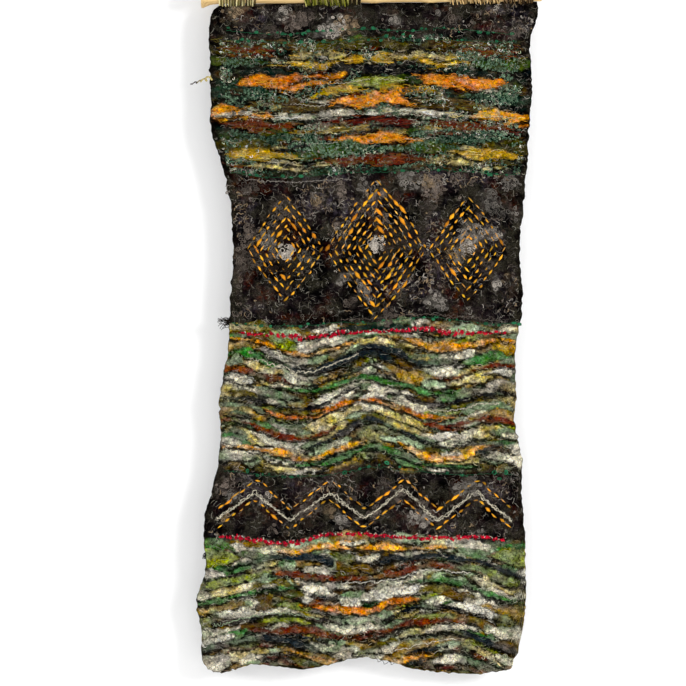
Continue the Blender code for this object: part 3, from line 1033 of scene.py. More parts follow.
def lozenge(out, drop, half_width, half_height):
    """A closed lozenge with slightly bowed sides."""
    corners = np.array([(0, -half_height), (half_width, 0), (0, half_height), (-half_width, 0)])
    share = np.arange(8)[:, None] / 8
    sides = [a + (b - a) * share for a, b in zip(corners, np.roll(corners, -1, axis=0))]
    line = np.concatenate([(1 + 0.06 * np.sin(pi * share)) * side for side in sides])
    return np.concatenate([line, line[:1]]) + (out, drop)


def zigzag(drop, height=56, period=131):
    """An even zigzag from side to side, its points a little rounded."""
    out = np.arange(-REACH, REACH + 1, 4.0)
    wave = 4 * abs(out / period % 1.0 - 0.5) - 1
    return np.stack([out, drop + height / 2 * wave * (1 - 0.08 * wave * wave)], axis=1)


def level_line(drop, reach, sway):
    out = np.arange(-reach, reach + 1, 5.0)
    return np.stack([out, drop + sway * np.sin(out / 37 + drop)], axis=1)


def stitch_guides():
    """The nested lozenges, and the zigzags above and below the couched one."""
    guides = []
    for out, half_width, half_height, count in MOTIFS:
        for ring in range(1, count + 1):
            share = 0.12 + 0.88 * (ring / count) ** 1.15
            guides.append(lozenge(out, FIELD_MIDDLE, half_width * share, half_height * share))
    return guides + [zigzag(PALE_MIDDLE + lift) for lift in (-17, 17)]


def slanted(along, across, angle):
    """Steps along and across a slanted way, as steps to the right and up or down."""
    right = along * np.cos(angle) - across * np.sin(angle)
    return right, along * np.sin(angle) + across * np.cos(angle)


# Pieces


class PieceOperator(bpy.types.Operator):
    """Shared by every piece's operator."""

    bl_options = {"REGISTER", "UNDO"}
    SEED = 0

    def execute(self, context):
        scene = context.scene
        self.canvas, self.strands = canvas_of(context), Strands()
        self.random = np.random.default_rng(self.SEED)
        self.make(scene.hanging_sizes, scene.hanging_colours)
        return {"FINISHED"}

    def piece(self, name, material, slot, *nodes):
        """Makes a piece of the strands so far, and starts afresh."""
        self.strands.piece(name, material, slot, *nodes)
        self.strands = Strands()

    def over(self, x, z, height):
        """Points in space, a height in front of the felt."""
        return np.stack([x, self.canvas.surface(x, z) - height, z], axis=-1)

    def on_band(self, out, drop, height):
        """Points in space over the design, following the bands' sway."""
        return self.over(*self.canvas.along_bands(out, drop), height)

    def crinkled(self, places, ways, pitch, height, row):
        """A line turned into uneven crinkles that follow it, and how far round each point is."""
        run, level = pitch * np.arange(len(places)), np.full(len(places), 37.0 * row)
        wave, slow, push = (
            self.canvas.noise[k].at(run, level, size, 2) for k, size in ((3, 3.2), (4, 11.0), (5, 4.0))
        )
        bent = places + crosswise(ways) * (height * (1.5 * wave + 1.1 * slow))[:, None]
        return bent + ways * (height * 0.9 * push)[:, None], TURN * (wave + push)

    def curled(self, x, z, turns, reach, flat, steps, lean=pi, drift=0.0, start=0.6):
        """Paths of x and z that wind out from a share of their reach, flattened along a lean."""
        random, one, share = self.random, (len(x), 1), np.linspace(0, 1, steps)
        angle = random.uniform(0, TURN, one) + share * random.uniform(*turns, one)
        size = random.uniform(*reach, one) * (start + (1 - start) * share)
        across = size * random.uniform(*flat, one) * np.sin(angle)
        path = slanted(size * np.cos(angle), across, random.uniform(-lean, lean, one))
        return [a[:, None] + b + random.normal(0, drift, one) * share for a, b in zip((x, z), path)]

    def flowing(self, x, z, way, length, bend, steps, wave=0.0):
        """Paths of x and z that run through each place along its way, and bend."""
        random, one, share = self.random, (len(x), 1), np.linspace(-0.5, 0.5, steps)
        length, start = random.uniform(*length, one), random.uniform(0, TURN, one)
        angle = way[:, None] + random.normal(0, bend, one) * share
        angle = angle + wave * np.sin(start + share * length * 0.8)
        return [
            place[:, None] + np.cumsum(towards(angle) * (length / (steps - 1)), axis=1)
            - length / 2 * towards(way)[:, None]
            for place, towards in ((x, np.cos), (z, np.sin))
        ]

    def lay(self, path, wool, arch, radius, sides=3, margin=2.0):
        """Adds the paths of x and z that stay on the felt, arched over it."""
        x, z = path
        share = np.linspace(-1, 1, x.shape[1])
        rise = 0.35 + arch * (1 - share**2) * self.random.uniform(0.15, 1.0, (len(x), 1))
        radii = self.random.uniform(*radius, (len(x), 1))
        keep = (self.canvas.sample(self.canvas.edge, x, z) > margin).all(axis=1)
        wool = np.clip(wool[keep], 0.001, 0.85)
        self.strands.add(self.over(x, z, rise)[keep], radii[keep], wool, sides)


class HANGING_OT_felt(PieceOperator):
    """Make the felt sheet with its bands, wrinkles and rolled edges"""

    bl_idname = "hanging.felt"
    bl_label = "Felt"
    COARSE = 4  # front quads to the width of one behind
    BACK_INSET = 2.4
    LUMPY_RIM = 14  # how far in from its edge the outline's lumps reach
    # The size and place of the front and of the back in the map
    FRONT_MAP = ((0.62, 0.98), (0.01, 0.01))
    BACK_MAP = ((0.33, 0.62), (0.65, 0.01))

    def make(self, sizes, colours):
        form, coarse = self.canvas.form, self.COARSE
        pitch = coarse * sizes.mesh_pitch / MM
        columns, rows = (int((form.high[k] - form.low[k]) / pitch) * coarse for k in (0, 2))
        u, v = np.meshgrid(np.linspace(0, 1, columns + 1), np.linspace(0, 1, rows + 1))
        x = form.low[0] + u * (form.high[0] - form.low[0])
        for _ in range(8):
            z = form.top(x) + v * (form.bottom(x) - form.top(x))
            x = form.left(z) + u * (form.right(z) - form.left(z))
        back = self.back(x[::coarse, ::coarse].copy(), z[::coarse, ::coarse].copy())
        points = np.concatenate([self.front(u, v, x, z), back])
        felt = mesh_object(
            "felt_sheet", points, self.faces(rows, columns), self.layers(x, z, len(back))
        )
        self.unwrap(felt, points, u.size)
        settle(felt, felt_material(), "dark_felt", "felt")

    def front(self, u, v, x, z):
        """The front's points, with lumps in the outline."""
        canvas, lump = self.canvas, self.canvas.noise[2]
        near = np.clip(1 - canvas.sample(canvas.edge, x, z) / self.LUMPY_RIM, 0, 1)
        bumps = near * (2.0 * lump.at(z + x, z - x, 13, 2) + 1.3 * lump.at(x, z, 5.5, 1))
        fine_x = x + bumps * np.sign(u - 0.5) * smooth_step(0.3, 0.5, abs(u - 0.5))
        fine_z = z - bumps * smooth_step(0.47, 0.5, v - 0.5)
        return np.stack([fine_x, canvas.surface(x, z), fine_z], axis=-1).reshape(-1, 3)

    def back(self, x, z):
        """The back's points, a little inside the outline."""
        for edge, inset in ((x[:, 0], 1), (x[:, -1], -1), (z[0], -1), (z[-1], 1)):
            edge += inset * self.BACK_INSET
        _, behind = self.canvas.plain_faces(x, z)
        behind = behind + 0.8 * self.canvas.noise[4].at(x, z, 30, 3)
        return np.stack([x, behind, z], axis=-1).reshape(-1, 3)

    def layers(self, x, z, count):
        """The layers of dyed wool in front, and dull dark wool on the points behind."""
        canvas = self.canvas
        dull = (*(0.6 * DYES["soot"] + 0.5 * DYES["umber"]), 0)
        # The creases, which the shader darkens as painted shade, ride in the ground layer's share.
        crease = canvas.sample(canvas.crease, x, z)[..., None]
        ground = np.concatenate([canvas.sample(canvas.ground, x, z), crease], axis=-1)
        under, over = (canvas.sample(layer, x, z) for layer in (canvas.under, canvas.over))
        for wool in (under, over):
            wool[..., 3] *= smooth_step(-1, 1.5, canvas.sample(canvas.edge, x, z))
        fronts = {"ground": (ground, dull), "under": (under, (0,) * 4), "over": (over, (0,) * 4)}
        return {
            name: np.concatenate([front.reshape(-1, 4), np.tile(behind, (count, 1))])
            for name, (front, behind) in fronts.items()
        }

    def faces(self, rows, columns):
        """Fine quads in front, coarse quads behind, and a seam of triangles round the rim."""
        fine = np.arange((rows + 1) * (columns + 1)).reshape(rows + 1, columns + 1)
        shape = (rows // self.COARSE + 1, columns // self.COARSE + 1)
        coarse = fine.size + np.arange(shape[0] * shape[1]).reshape(shape)

        def quads(grid):
            corners = (grid[:-1, :-1], grid[1:, :-1], grid[1:, 1:], grid[:-1, 1:])
            return np.stack(corners, axis=-1).reshape(-1, 4)

        def ring(grid):
            return np.concatenate([grid[0, :-1], grid[:-1, -1], grid[-1, :0:-1], grid[:0:-1, 0]])

        f = [np.roll(ring(fine), -k)[:: self.COARSE] for k in range(5)]
        c, after = ring(coarse), np.roll(ring(coarse), -1)
        seam = ((f[0], f[1], c), (f[1], f[2], c), (f[2], after, c), (f[2], f[3], after),
                (f[3], f[4], after))
        seam = np.concatenate([np.stack(three, axis=-1) for three in seam])
        return [quads(fine), quads(coarse)[:, (0, 3, 2, 1)], seam]

    def unwrap(self, felt, points, count):
        """Lays the front over most of the map and the back in a corner of it."""
        flat = points[:, (0, 2)]
        flat = (flat - flat.min(axis=0)) / (flat.max(axis=0) - flat.min(axis=0))
        for half, (size, place) in (
            (np.s_[:count], self.FRONT_MAP), (np.s_[count:], self.BACK_MAP)
        ):
            flat[half] = flat[half] * size + place
        layer = felt.data.uv_layers.new(name="OFBake")
        corners = np.zeros(len(felt.data.loops), int)
        felt.data.loops.foreach_get("vertex_index", corners)
        layer.data.foreach_set("uv", flat[corners].astype(np.float32).ravel())


class Branch:
    """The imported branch's axis and radii."""

    ANGLES = 49

    def __init__(self):
        points = np.unique(np.round(vertices_of("rod"), 2), axis=0)
        self.stations = np.unique(np.round(points[:, 0], 1))
        self.angles = np.linspace(-pi, pi, self.ANGLES)
        centres, radii = [], []
        for station in self.stations:
            ring = points[abs(points[:, 0] - station) < 0.15, 1:]
            centres.append(ring.mean(axis=0))
            y, z = (ring - centres[-1]).T
            order = np.argsort(np.arctan2(z, y))
            angle, reach = np.arctan2(z, y)[order], np.hypot(z, y)[order]
            radii.append(np.interp(self.angles, angle, reach, period=TURN))
        self.centres, self.radii = np.array(centres), np.array(radii)

    def axis(self, x):
        return np.stack([np.interp(x, self.stations, each) for each in self.centres.T], axis=-1)

    def radius(self, x):
        return np.interp(x, self.stations, self.radii.mean(axis=1))

    def ring(self, x):
        return np.array([np.interp(x, self.stations, each) for each in self.radii.T])


class HANGING_OT_branch(PieceOperator):
    """Make the peeled branch with its knots, grain and sawn ends"""

    bl_idname = "hanging.branch"
    bl_label = "Branch"
    SIDES = 36
    PITCH = 2.6
    SPLAY, SPLAY_LENGTH = 5.5, 11  # how the branch widens to its left end
    CHAMFER, CHAMFER_LENGTH = 0.8, 1.5
    # Where each knot lies along the branch and round it, and its radius
    KNOTS = ((4, -1.9, 5.0), (104, -1.3, 6.0), (-172, -0.9, 4.0), (62, 1.4, 4.5), (-236, 2.2, 4.0))

    def make(self, sizes, colours):
        branch = Branch()
        first, last = branch.stations[0], branch.stations[-1]
        x = np.linspace(first, last, ceil((last - first) / self.PITCH))
        round_it = -pi + TURN * np.arange(self.SIDES) / self.SIDES
        rings = np.array([np.interp(round_it, branch.angles, branch.ring(place)) for place in x])
        along, angle = np.meshgrid(x, round_it, indexing="ij")
        rings = self.carved(rings, along, angle)
        splay = self.SPLAY * np.exp(-(((along - first) / self.SPLAY_LENGTH) ** 2))
        rings = rings + splay * (0.6 - 0.4 * np.sin(angle))
        from_end = np.minimum(along - first, last - along)
        rings = rings - self.CHAMFER * (1 - smooth_step(0, self.CHAMFER_LENGTH, from_end))
        centres = branch.axis(x)
        y, z = centres[:, :1] + rings * np.cos(angle), centres[:, 1:] + rings * np.sin(angle)
        points = np.stack([along, y, z], axis=-1).reshape(-1, 3)
        index = np.arange(along.size).reshape(along.shape)
        beyond = np.roll(index, -1, axis=1)
        quads = np.stack([index[1:], beyond[1:], beyond[:-1], index[:-1]], axis=-1).reshape(-1, 4)
        fans = [
            np.stack([a, np.full_like(a, index.size + end), b], axis=-1)
            for end, (a, b) in enumerate(((index[0], beyond[0]), (beyond[-1], index[-1])))
        ]
        hubs = [(first + 0.2, *centres[0]), (last - 0.2, *centres[-1])]
        obj = mesh_object("branch", np.concatenate([points, hubs]), [quads, np.concatenate(fans)])
        settle(obj, wood_material(colours.wood, colours.wood_dark), "peeled_wood", "rod")

    def carved(self, rings, along, angle):
        """The radii with slow swells, long grain and sunken, rimmed knots."""
        noise = self.canvas.noise[5]
        rings = rings + 0.35 * noise.at(along, 9 * np.cos(angle) + 40, 26, 2, 3)
        rings = rings + 0.22 * noise.at(along, 30 * angle, 9, 2, 12)
        for place, side, size in self.KNOTS:
            far = np.hypot(along - place, 11 * np.sin((angle - side) / 2) * 2)
            rings = rings + 0.9 * np.exp(-(((far - size) / 1.8) ** 2))
            rings = rings - 0.8 * np.exp(-((far / (0.7 * size)) ** 2))
        return rings


# Each winding's yarn colours go round its turns in order; the darker among them are partly the yarns'
# own and partly painted shade in the gaps between turns.
Winding = namedtuple("Winding", "name start end thick pitch slant spread yarns")
WINDINGS = (
    Winding("pale", -270, -205, 1.1, 2.5, 3.0, 1.5,
            ((214, 202, 150), (96, 90, 48), (178, 164, 110), (62, 56, 34))),
    Winding("lime", -122, -40, 1.25, 1.9, -5.0, 2.4,
            ((92, 94, 28), (152, 148, 84), (56, 56, 22), (104, 106, 38), (44, 42, 22))),
    Winding("dark", -40, -16, 1.35, 2.2, 4.0, 1.6,
            ((40, 34, 18), (26, 22, 14), (118, 108, 74), (34, 30, 18))),
    Winding("beige", 134, 227, 1.1, 2.7, -11.0, 1.6,
            ((210, 180, 128), (120, 96, 58), (190, 158, 106), (88, 72, 46))),
    Winding("brown", 229, 286, 1.15, 2.5, -8.0, 1.4,
            ((84, 66, 42), (54, 42, 28), (132, 110, 80), (44, 34, 24))),
)


class HANGING_OT_lashings(PieceOperator):
    """Wind the runs of plied yarn round the branch and through the felt"""

    bl_idname = "hanging.lashings"
    bl_label = "Lashings"
    SEED = 200
    POINTS, ARC_POINTS = 44, 26
    STRIP = 0.8  # how much felt is left over the feet of the turns
    FOOT_OUT = 3.0  # how far a turn's feet lie from the felt's middle, but for the yarn's thickness
    TWIST = 9  # the length of one turn of the plies

    def make(self, sizes, colours):
        branch, material = Branch(), strand_material("lashing_yarn", grain=1.1)
        for k, winding in enumerate(WINDINGS):
            self.random = np.random.default_rng(self.SEED + k)
            self.wind(winding, branch)
            self.piece("winding_" + winding.name, material,
                       "yarn_" + winding.name, "lashing_" + winding.name)

    def turn(self, branch, x, thick, spread):
        """One turn as a closed loop of y and z: over the branch, down, through the felt and up."""
        random, centre = self.random, branch.axis(x)
        radius = branch.radius(x) + 0.5 + thick + abs(random.normal(0, 0.35)) * spread
        foot_y = self.FOOT_OUT + thick * random.uniform(0.9, 1.5)
        foot_z = self.canvas.form.top(x) - self.STRIP - random.uniform(-0.8, 2.2) * spread
        down = min(foot_z - centre[1], -0.3 - (radius**2 - foot_y**2) ** 0.5)
        foot_z = centre[1] + down
        lean = np.arccos(radius / hypot(foot_y, down))
        right = np.arctan2(down, foot_y - centre[0]) + lean
        left = np.arctan2(down, -foot_y - centre[0]) - lean
        angles = right + (left - right + TURN) * np.linspace(0, 1, self.ARC_POINTS)
        arc = centre + radius * np.stack([np.cos(angles), np.sin(angles)], axis=1)
        foot = [(-foot_y, foot_z), (-foot_y * 0.6, foot_z - 1.2), (foot_y * 0.6, foot_z - 1.2),
                (foot_y, foot_z)]
        length, found = along_line(np.concatenate([arc, foot, arc[:1]]))
        return found(np.linspace(0, length, self.POINTS))

    def wind(self, winding, branch):
        name, start, end, thick, pitch, slant, spread, yarns = winding
        share, bundle = np.arange(self.POINTS) / self.POINTS, []
        for k in range(int((end - start) / pitch)):
            x = start + pitch * (k + 0.5) + self.random.normal(0, 0.3) * spread
            loop = self.turn(branch, x, thick, spread)
            slope = slant * (1 + 0.3 * self.random.normal()) * np.sin(TURN * share - 0.6) / 2
            x = np.clip(x + slope + pitch * (share - 0.5), start, end)
            bundle.append(np.column_stack([x, loop]))
        # Each group of turns takes the next yarn colour, so the darker ones lie between lighter turns
        # as painted shade.
        for group, looks in enumerate(yarns):
            paths = np.array(bundle[group :: len(yarns)])
            away = paths - np.concatenate([paths[..., :1], branch.axis(paths[..., 0])], axis=-1)
            steps = np.linalg.norm(np.diff(paths, axis=1, prepend=paths[:, :1]), axis=2)
            wool = tinted(np.tile(dye(*looks), (len(paths), 1)), self.random, 0.28)
            self.strands.add(paths, thick, wool, sides=6, away=unit(away),
                             lobes=steps.cumsum(axis=1) * (TURN / self.TWIST))


class HANGING_OT_stitches(PieceOperator):
    """Sew the running stitches of the lozenges and the zigzags"""

    bl_idname = "hanging.stitches"
    bl_label = "Running stitches"
    SEED = 300
    POINTS = 7
    SPACING = 1.4  # stitch lengths from the middle of one to the next
    FAT, THIN = 0.16, 0.24  # the shares of stitches that are so

    def make(self, sizes, colours):
        for guide in stitch_guides():
            self.sew(guide, sizes.stitch_length / MM, sizes.stitch_width / MM, colours)
        self.piece("running_stitches", strand_material("stitch_yarn", 0.6, 0.9), "stitch_yarn")

    def sew(self, guide, long, wide, colours):
        """Uneven stitches along a guide, some fat and some thin."""
        places, ways = resample(guide, long * self.SPACING)
        random, count, share = self.random, len(places), np.linspace(-1, 1, self.POINTS)
        one, arch = (count, 1), 1 - share**2
        fat, thin = random.random(one) < self.FAT, random.random(one) < self.THIN
        length = long * random.uniform(0.7, 1.4, one) * np.where(fat, 1.3, 1.0)
        width = wide * random.uniform(0.65, 1.12, one) * np.where(fat, 1.7, 1.0)
        width = width * np.where(thin, 0.65, 1.0)
        bow = random.normal(0, 0.7, one) * arch
        path = places[:, None] + ways[:, None] * (share * length / 2)[..., None]
        path = path + random.normal(0, 0.9, (count, 1, 2)) + crosswise(ways)[:, None] * bow[..., None]
        rise = 1.3 * arch - 0.7 + 0.25 * random.random(one)
        points = self.over(*self.canvas.place(path[..., 0], path[..., 1]), rise)
        blunt = np.where(fat, 0.45, 0.12)
        radii = width / 2 * (blunt + (1 - blunt) * np.sqrt(arch))
        gold = np.where(fat, colours.stitch_warm, colours.stitch)
        gold = np.where(thin, 0.85 * DYES["amber"], gold)
        gold = blend(gold, DYES["mustard"], 0.8 * random.random(count) ** 2)
        # Painted highlight and shade: each stitch lighter in its middle and darker towards its ends,
        # where it dips into the felt.
        gold = tinted(gold, random, 0.3)[:, None] * (1.1 - 0.75 * share**2)[:, None]
        twist = np.broadcast_to(share * 2.6, radii.shape)
        self.strands.add(points, radii, gold, sides=6, lobes=twist)


class HANGING_OT_knots(PieceOperator):
    """Tie the rows of small knots, and the berry stitches"""

    bl_idname = "hanging.knots"
    bl_label = "Knots and berry stitches"
    SEED = 310
    THREAD_PITCH = 1.7
    TIED = 0.6  # the share of places in a row that get a knot
    CROSSES, PALE_CROSSES = 11, 2  # stitches over each place of a berry row
    KNOT_ROWS = ((50, 9.5), (67, 14), (302, 10), (567, 11), (832, 13))  # drop and pitch
    BERRY_ROWS = ((586, 10.5, 236), (948, 11, 256))  # drop, pitch and reach

    def make(self, sizes, colours):
        for drop, pitch in self.KNOT_ROWS:
            line = level_line(drop, reach=258, sway=2.0)
            places, ways = resample(line, self.THREAD_PITCH)
            thread, _ = self.crinkled(places, ways, self.THREAD_PITCH, height=1.1, row=drop)
            wool = 0.6 * np.array(colours.knot)[None]
            self.strands.add(self.on_band(*thread.T, 0.7)[None], 0.45, wool)
            places, _ = resample(line, pitch)
            self.tie(places[self.random.random(len(places)) < self.TIED], colours.knot)
        self.piece("teal_knots", strand_material("knot_yarn", 0.65, 0.9), "stitch_yarn")
        for drop, pitch, reach in self.BERRY_ROWS:
            places, _ = resample(level_line(drop, reach, sway=4.0), pitch)
            places = places + self.random.normal(0, 1.3, places.shape)
            for _ in range(self.CROSSES):
                self.cross(places, colours.berry, spread=2.2, thick=1.05)
            for _ in range(self.PALE_CROSSES):
                self.cross(places + (5, -2), DYES["cream"], spread=2.4, thick=0.5)
        self.piece("berry_stitches", strand_material("berry_yarn", 0.6, 0.9), "stitch_yarn")

    def tie(self, places, wool):
        """Each knot is two loops of yarn, one on the other."""
        random, one = self.random, (len(places), 1)
        places = places + random.normal(0, 2.6, places.shape) * (1.3, 0.8)
        size = random.uniform(0.4, 1.35, one)
        for loop in range(2):
            angle = random.uniform(0, TURN, one) + np.linspace(0, 5.2, 8)
            tilt, wide = random.uniform(0.6, 1.0, one), random.uniform(0.8, 1.9, one)
            out = places[:, :1] + 1.7 * size * wide * np.cos(angle)
            down = places[:, 1:] + 1.7 * size * tilt * np.sin(angle)
            points = self.on_band(out, down, 0.9 + 0.8 * loop + 0.3 * np.sin(angle * 2))
            self.strands.add(points, 0.9 * size, tinted(np.tile(wool, one), random, 0.35), 4)

    def cross(self, places, wool, spread, thick):
        """One short stitch across each place, at any slant."""
        random, count, share = self.random, len(places), np.linspace(-1, 1, 4)
        angle = random.uniform(0, pi, (count, 1, 1))
        way = np.concatenate([np.cos(angle), np.sin(angle)], axis=2)
        path = places[:, None] + way * share[:, None] * random.uniform(1.2, 2.8, (count, 1, 1))
        path = path + random.normal(0, spread, (count, 1, 2)) * (1.0, 0.6)
        height = random.uniform(1.2, 2.4, (count, 1)) * (1 - share**2) - 0.2
        points = self.on_band(path[..., 0], path[..., 1], height)
        self.strands.add(points, thick, tinted(np.tile(wool, (count, 1)), random, 0.45), 4)


Couched = namedtuple("Couched", "drop start end thick dye")
COUCHED = (
    Couched(FIELD.top + 12, -232, -40, 0.9, "smoke"),
    Couched(FIELD.bottom - 12, -60, 228, 0.9, "taupe"),
    Couched(637, -214, -18, 1.2, "cream"),
    Couched(716, 30, 238, 1.2, "cream"),
    Couched(779, -250, -120, 1.0, "smoke"),
    Couched(1021, -40, 190, 1.2, "white"),
    Couched(1088, -262, -70, 1.2, "mint"),
    Couched(1148, 40, 170, 1.1, "cream"),
)


class HANGING_OT_couching(PieceOperator):
    """Lay the crinkled yarns along the zigzag and the ridges, and sew them down"""

    bl_idname = "hanging.couching"
    bl_label = "Couched yarns"
    SEED = 320
    PITCH = 1.2
    TIE_EVERY = 9  # points of the yarn from tie to tie
    TIE_REACH, TIE_RADIUS = 2.4, 0.35

    def make(self, sizes, colours):
        for row, lift in enumerate((-1.6, 1.2)):
            self.couch(zigzag(PALE_MIDDLE + lift), 1.1, np.array(colours.couching), row)
        for row, yarn in enumerate(COUCHED, start=3):
            out = np.arange(yarn.start, yarn.end, 4.0)
            line = np.stack([out, np.full_like(out, yarn.drop)], axis=1)
            self.couch(line, yarn.thick, DYES[yarn.dye], row)
        self.piece("couched_yarns", strand_material("couched_yarn", 0.75, 1.2), "stitch_yarn")

    def couch(self, line, thick, wool, row):
        places, ways = resample(line, self.PITCH)
        bent, turn = self.crinkled(places, ways, self.PITCH, 2.2 * thick, row)
        points = self.on_band(*bent.T, thick * (0.9 + 0.4 * np.cos(turn)))[None]
        # Painted light and shade: the yarn is lighter where its crinkles rise from the felt and darker
        # where they dip.
        tone = (0.8 + 0.35 * np.cos(turn))[:, None]
        self.strands.add(points, thick * (0.55 + 0.16 * np.sin(turn)), (wool * tone)[None], 4)
        ties, ways = places[:: self.TIE_EVERY, None], ways[:: self.TIE_EVERY]
        share, one = np.linspace(-1, 1, 5), (len(ties), 1)
        lean = self.random.normal(0, 1.0, (*one, 1)) * ways[:, None]
        path = ties + (crosswise(ways)[:, None] + 0.6 * lean) * share[:, None] * self.TIE_REACH
        height = 2.0 * thick * np.sqrt(1 - share**2) - 0.3
        points = self.on_band(path[..., 0], path[..., 1], height)
        wool = 0.8 * tinted(np.tile(wool, one), self.random, 0.2)
        self.strands.add(points, self.TIE_RADIUS, wool)


class HANGING_OT_boucle(PieceOperator):
    """Felt the nubby looped wool into the streaked zone, with finer pale loops over it"""

    bl_idname = "hanging.boucle"
    bl_label = "Looped wool"
    SEED = 330
    LOOPS = 2300
    FINE_LOOPS = 2900

    def make(self, sizes, colours):
        canvas, random, count = self.canvas, self.random, 5 * self.LOOPS
        x, z = canvas.place(random.uniform(-REACH, REACH, count), random.uniform(58, 312, count))
        laid = canvas.sample(canvas.over, x, z)
        patch = (laid[:, 3] > 0.45) & (abs(laid[:, :3] - DYES["teal"]).sum(axis=1) < 0.055)
        thick = canvas.noise[6].at(x, z, 22, 2, 2.0) > -0.05
        keep = (patch | (thick & (laid[:, 3] < 0.42))) & (canvas.sample(canvas.wet, x, z) > 0.5)
        x, z, patch = (values[keep][: self.LOOPS] for values in (x, z, patch))
        share = np.clip(0.45 + 1.3 * canvas.noise[7].at(x, z, 26, 2, 2.2) + 0.5 * patch, 0, 1)
        wool = blend(DYES["teal"], 0.7 * DYES["sea"] + 0.4 * DYES["sage"], share)
        path = self.curled(x, z, turns=(3.6, 5.6), reach=(1.1, 2.3), flat=(0.5, 1.0), steps=7)
        self.lay(path, tinted(wool, random, 0.5), arch=1.6, radius=(0.42, 0.65), margin=10)
        self.veil()
        self.piece("looped_wool", strand_material("looped_wool", 0.85), "dyed_wool")

    def veil(self):
        """Fine pale loops in drifts, thickest where the bright streaks are not."""
        canvas, random, count = self.canvas, self.random, 6 * self.FINE_LOOPS
        x, z = canvas.place(random.uniform(-266, 266, count), random.uniform(56, 316, count))
        thick = 0.1 + 1.7 * canvas.noise[4].at(x, z, 34, 3, 1.6)
        covered = canvas.sample(canvas.over[..., 3], x, z) > 0.6
        keep = random.random(count) < thick * np.where(covered, 0.3, 1.0)
        keep &= canvas.sample(canvas.wet, x, z) > 0.5
        x, z = (values[keep][: self.FINE_LOOPS] for values in (x, z))
        wool = dyes_of("sage sea smoke sea mint cream taupe sea", random, len(x))
        path = self.curled(
            x, z, turns=(2.5, 6.0), reach=(1.2, 4.4), flat=(0.4, 0.95), steps=8, start=0.35
        )
        wool = tinted(wool * random.uniform(0.3, 1.5, (len(x), 1)), random, 0.3)
        self.lay(path, wool, arch=1.5, radius=(0.24, 0.42), sides=2, margin=8)


class HANGING_OT_locks(PieceOperator):
    """Felt the ringed locks into the dark zones, in clumps and rosettes"""

    bl_idname = "hanging.locks"
    bl_label = "Ringed locks"
    SEED = 340
    RINGS = 1400

    def make(self, sizes, colours):
        random, count = self.random, self.RINGS
        rosettes = [(out, FIELD_MIDDLE, 15, 0.9, 0, *DYES["smoke"]) for out, *_ in MOTIFS]
        table = np.array(self.canvas.clumps + [rosette for rosette in rosettes for _ in range(3)])
        area = table[:, 2] ** 2 * table[:, 3]
        rows = random.choice(len(table), count, p=area / area.sum())
        out, drop, reach, squash, turn, *wool = table[rows].T
        angle, far = random.uniform(0, TURN, count), reach * random.random(count) ** 0.6
        right, down = slanted(far * np.cos(angle), far * squash * np.sin(angle), turn)
        x, z = self.canvas.along_bands(out + right, drop + down)
        wool = 1.5 * np.stack(wool, axis=1) * random.uniform(0.5, 1.5, (count, 1))
        path = self.curled(
            x, z, turns=(5.0, 12.0), reach=(2.2, 6.2), flat=(0.5, 0.95), steps=15,
            drift=1.0, start=0.25,
        )
        self.lay(path, wool, arch=2.0, radius=(0.5, 0.85), margin=4)
        self.piece("ringed_locks", strand_material("lock_wool", 0.75, 1.2), "dyed_wool")


class HANGING_OT_rovings(PieceOperator):
    """Lay loose strands of bright wool along the raised streaks"""

    bl_idname = "hanging.rovings"
    bl_label = "Bright rovings"
    SEED = 350
    DENSITY = 1.3  # strands for each millimetre of a streak's half length
    SHADES = dict(
        orange="orange orange gold orange", gold="gold orange straw",
        mustard="mustard mustard straw olive", cream="cream white straw",
        maroon="maroon maroon rust", rust="rust maroon bronze", ochre="ochre straw olive",
        bronze="bronze olive umber", smoke="smoke cream taupe", lime="lime olive lime",
    )

    def make(self, sizes, colours):
        for streak in STREAKS:
            for side in sides_of(streak):
                if streak.dye in self.SHADES:
                    self.strew(streak, side)
                if streak.dye in ("orange", "gold", "cream"):
                    self.trail(streak, side)
        self.piece("bright_rovings", strand_material("roving_wool", 0.75), "dyed_wool")

    def strew(self, streak, side):
        """Crimped strands scattered over one streak, where its own wool shows."""
        random, count = self.random, int(self.DENSITY * streak.half_length)
        out = side * streak.out + random.uniform(-1, 1, count) * streak.half_length
        down = streak.drop + random.uniform(-1.2, 1.2, count) * streak.half_height
        x, z = self.canvas.along_bands(out, down)
        laid = self.canvas.sample(self.canvas.over, x, z)
        near = abs(laid[:, :3] - DYES[streak.dye]).sum(axis=1) < 0.25
        x, z = (values[near & (laid[:, 3] > 0.55)] for values in (x, z))
        way = random.normal(0, 0.15, len(x))
        path = self.flowing(x, z, way, length=(10, 26), bend=0.6, steps=11, wave=0.55)
        wool = dyes_of(self.SHADES[streak.dye], random, len(x))
        wool = wool * random.uniform(0.5, 1.6, (len(x), 1))
        self.lay(path, wool, arch=0.8, radius=(0.35, 0.65))

    def trail(self, streak, side):
        """Thin pale tails past a bright streak's ends."""
        run = np.linspace(0, self.random.uniform(45, 80), 30)[None]
        for end in (-1, 1):
            out = side * streak.out + end * (0.85 * streak.half_length + run)
            down = streak.drop + 2 * np.sin(run / 13) + 1.1 * np.sin(run * 0.8) - 1
            path = self.canvas.along_bands(out, down)
            self.lay(path, DYES["cream"][None], arch=0.3, radius=(0.38, 0.42), margin=3)


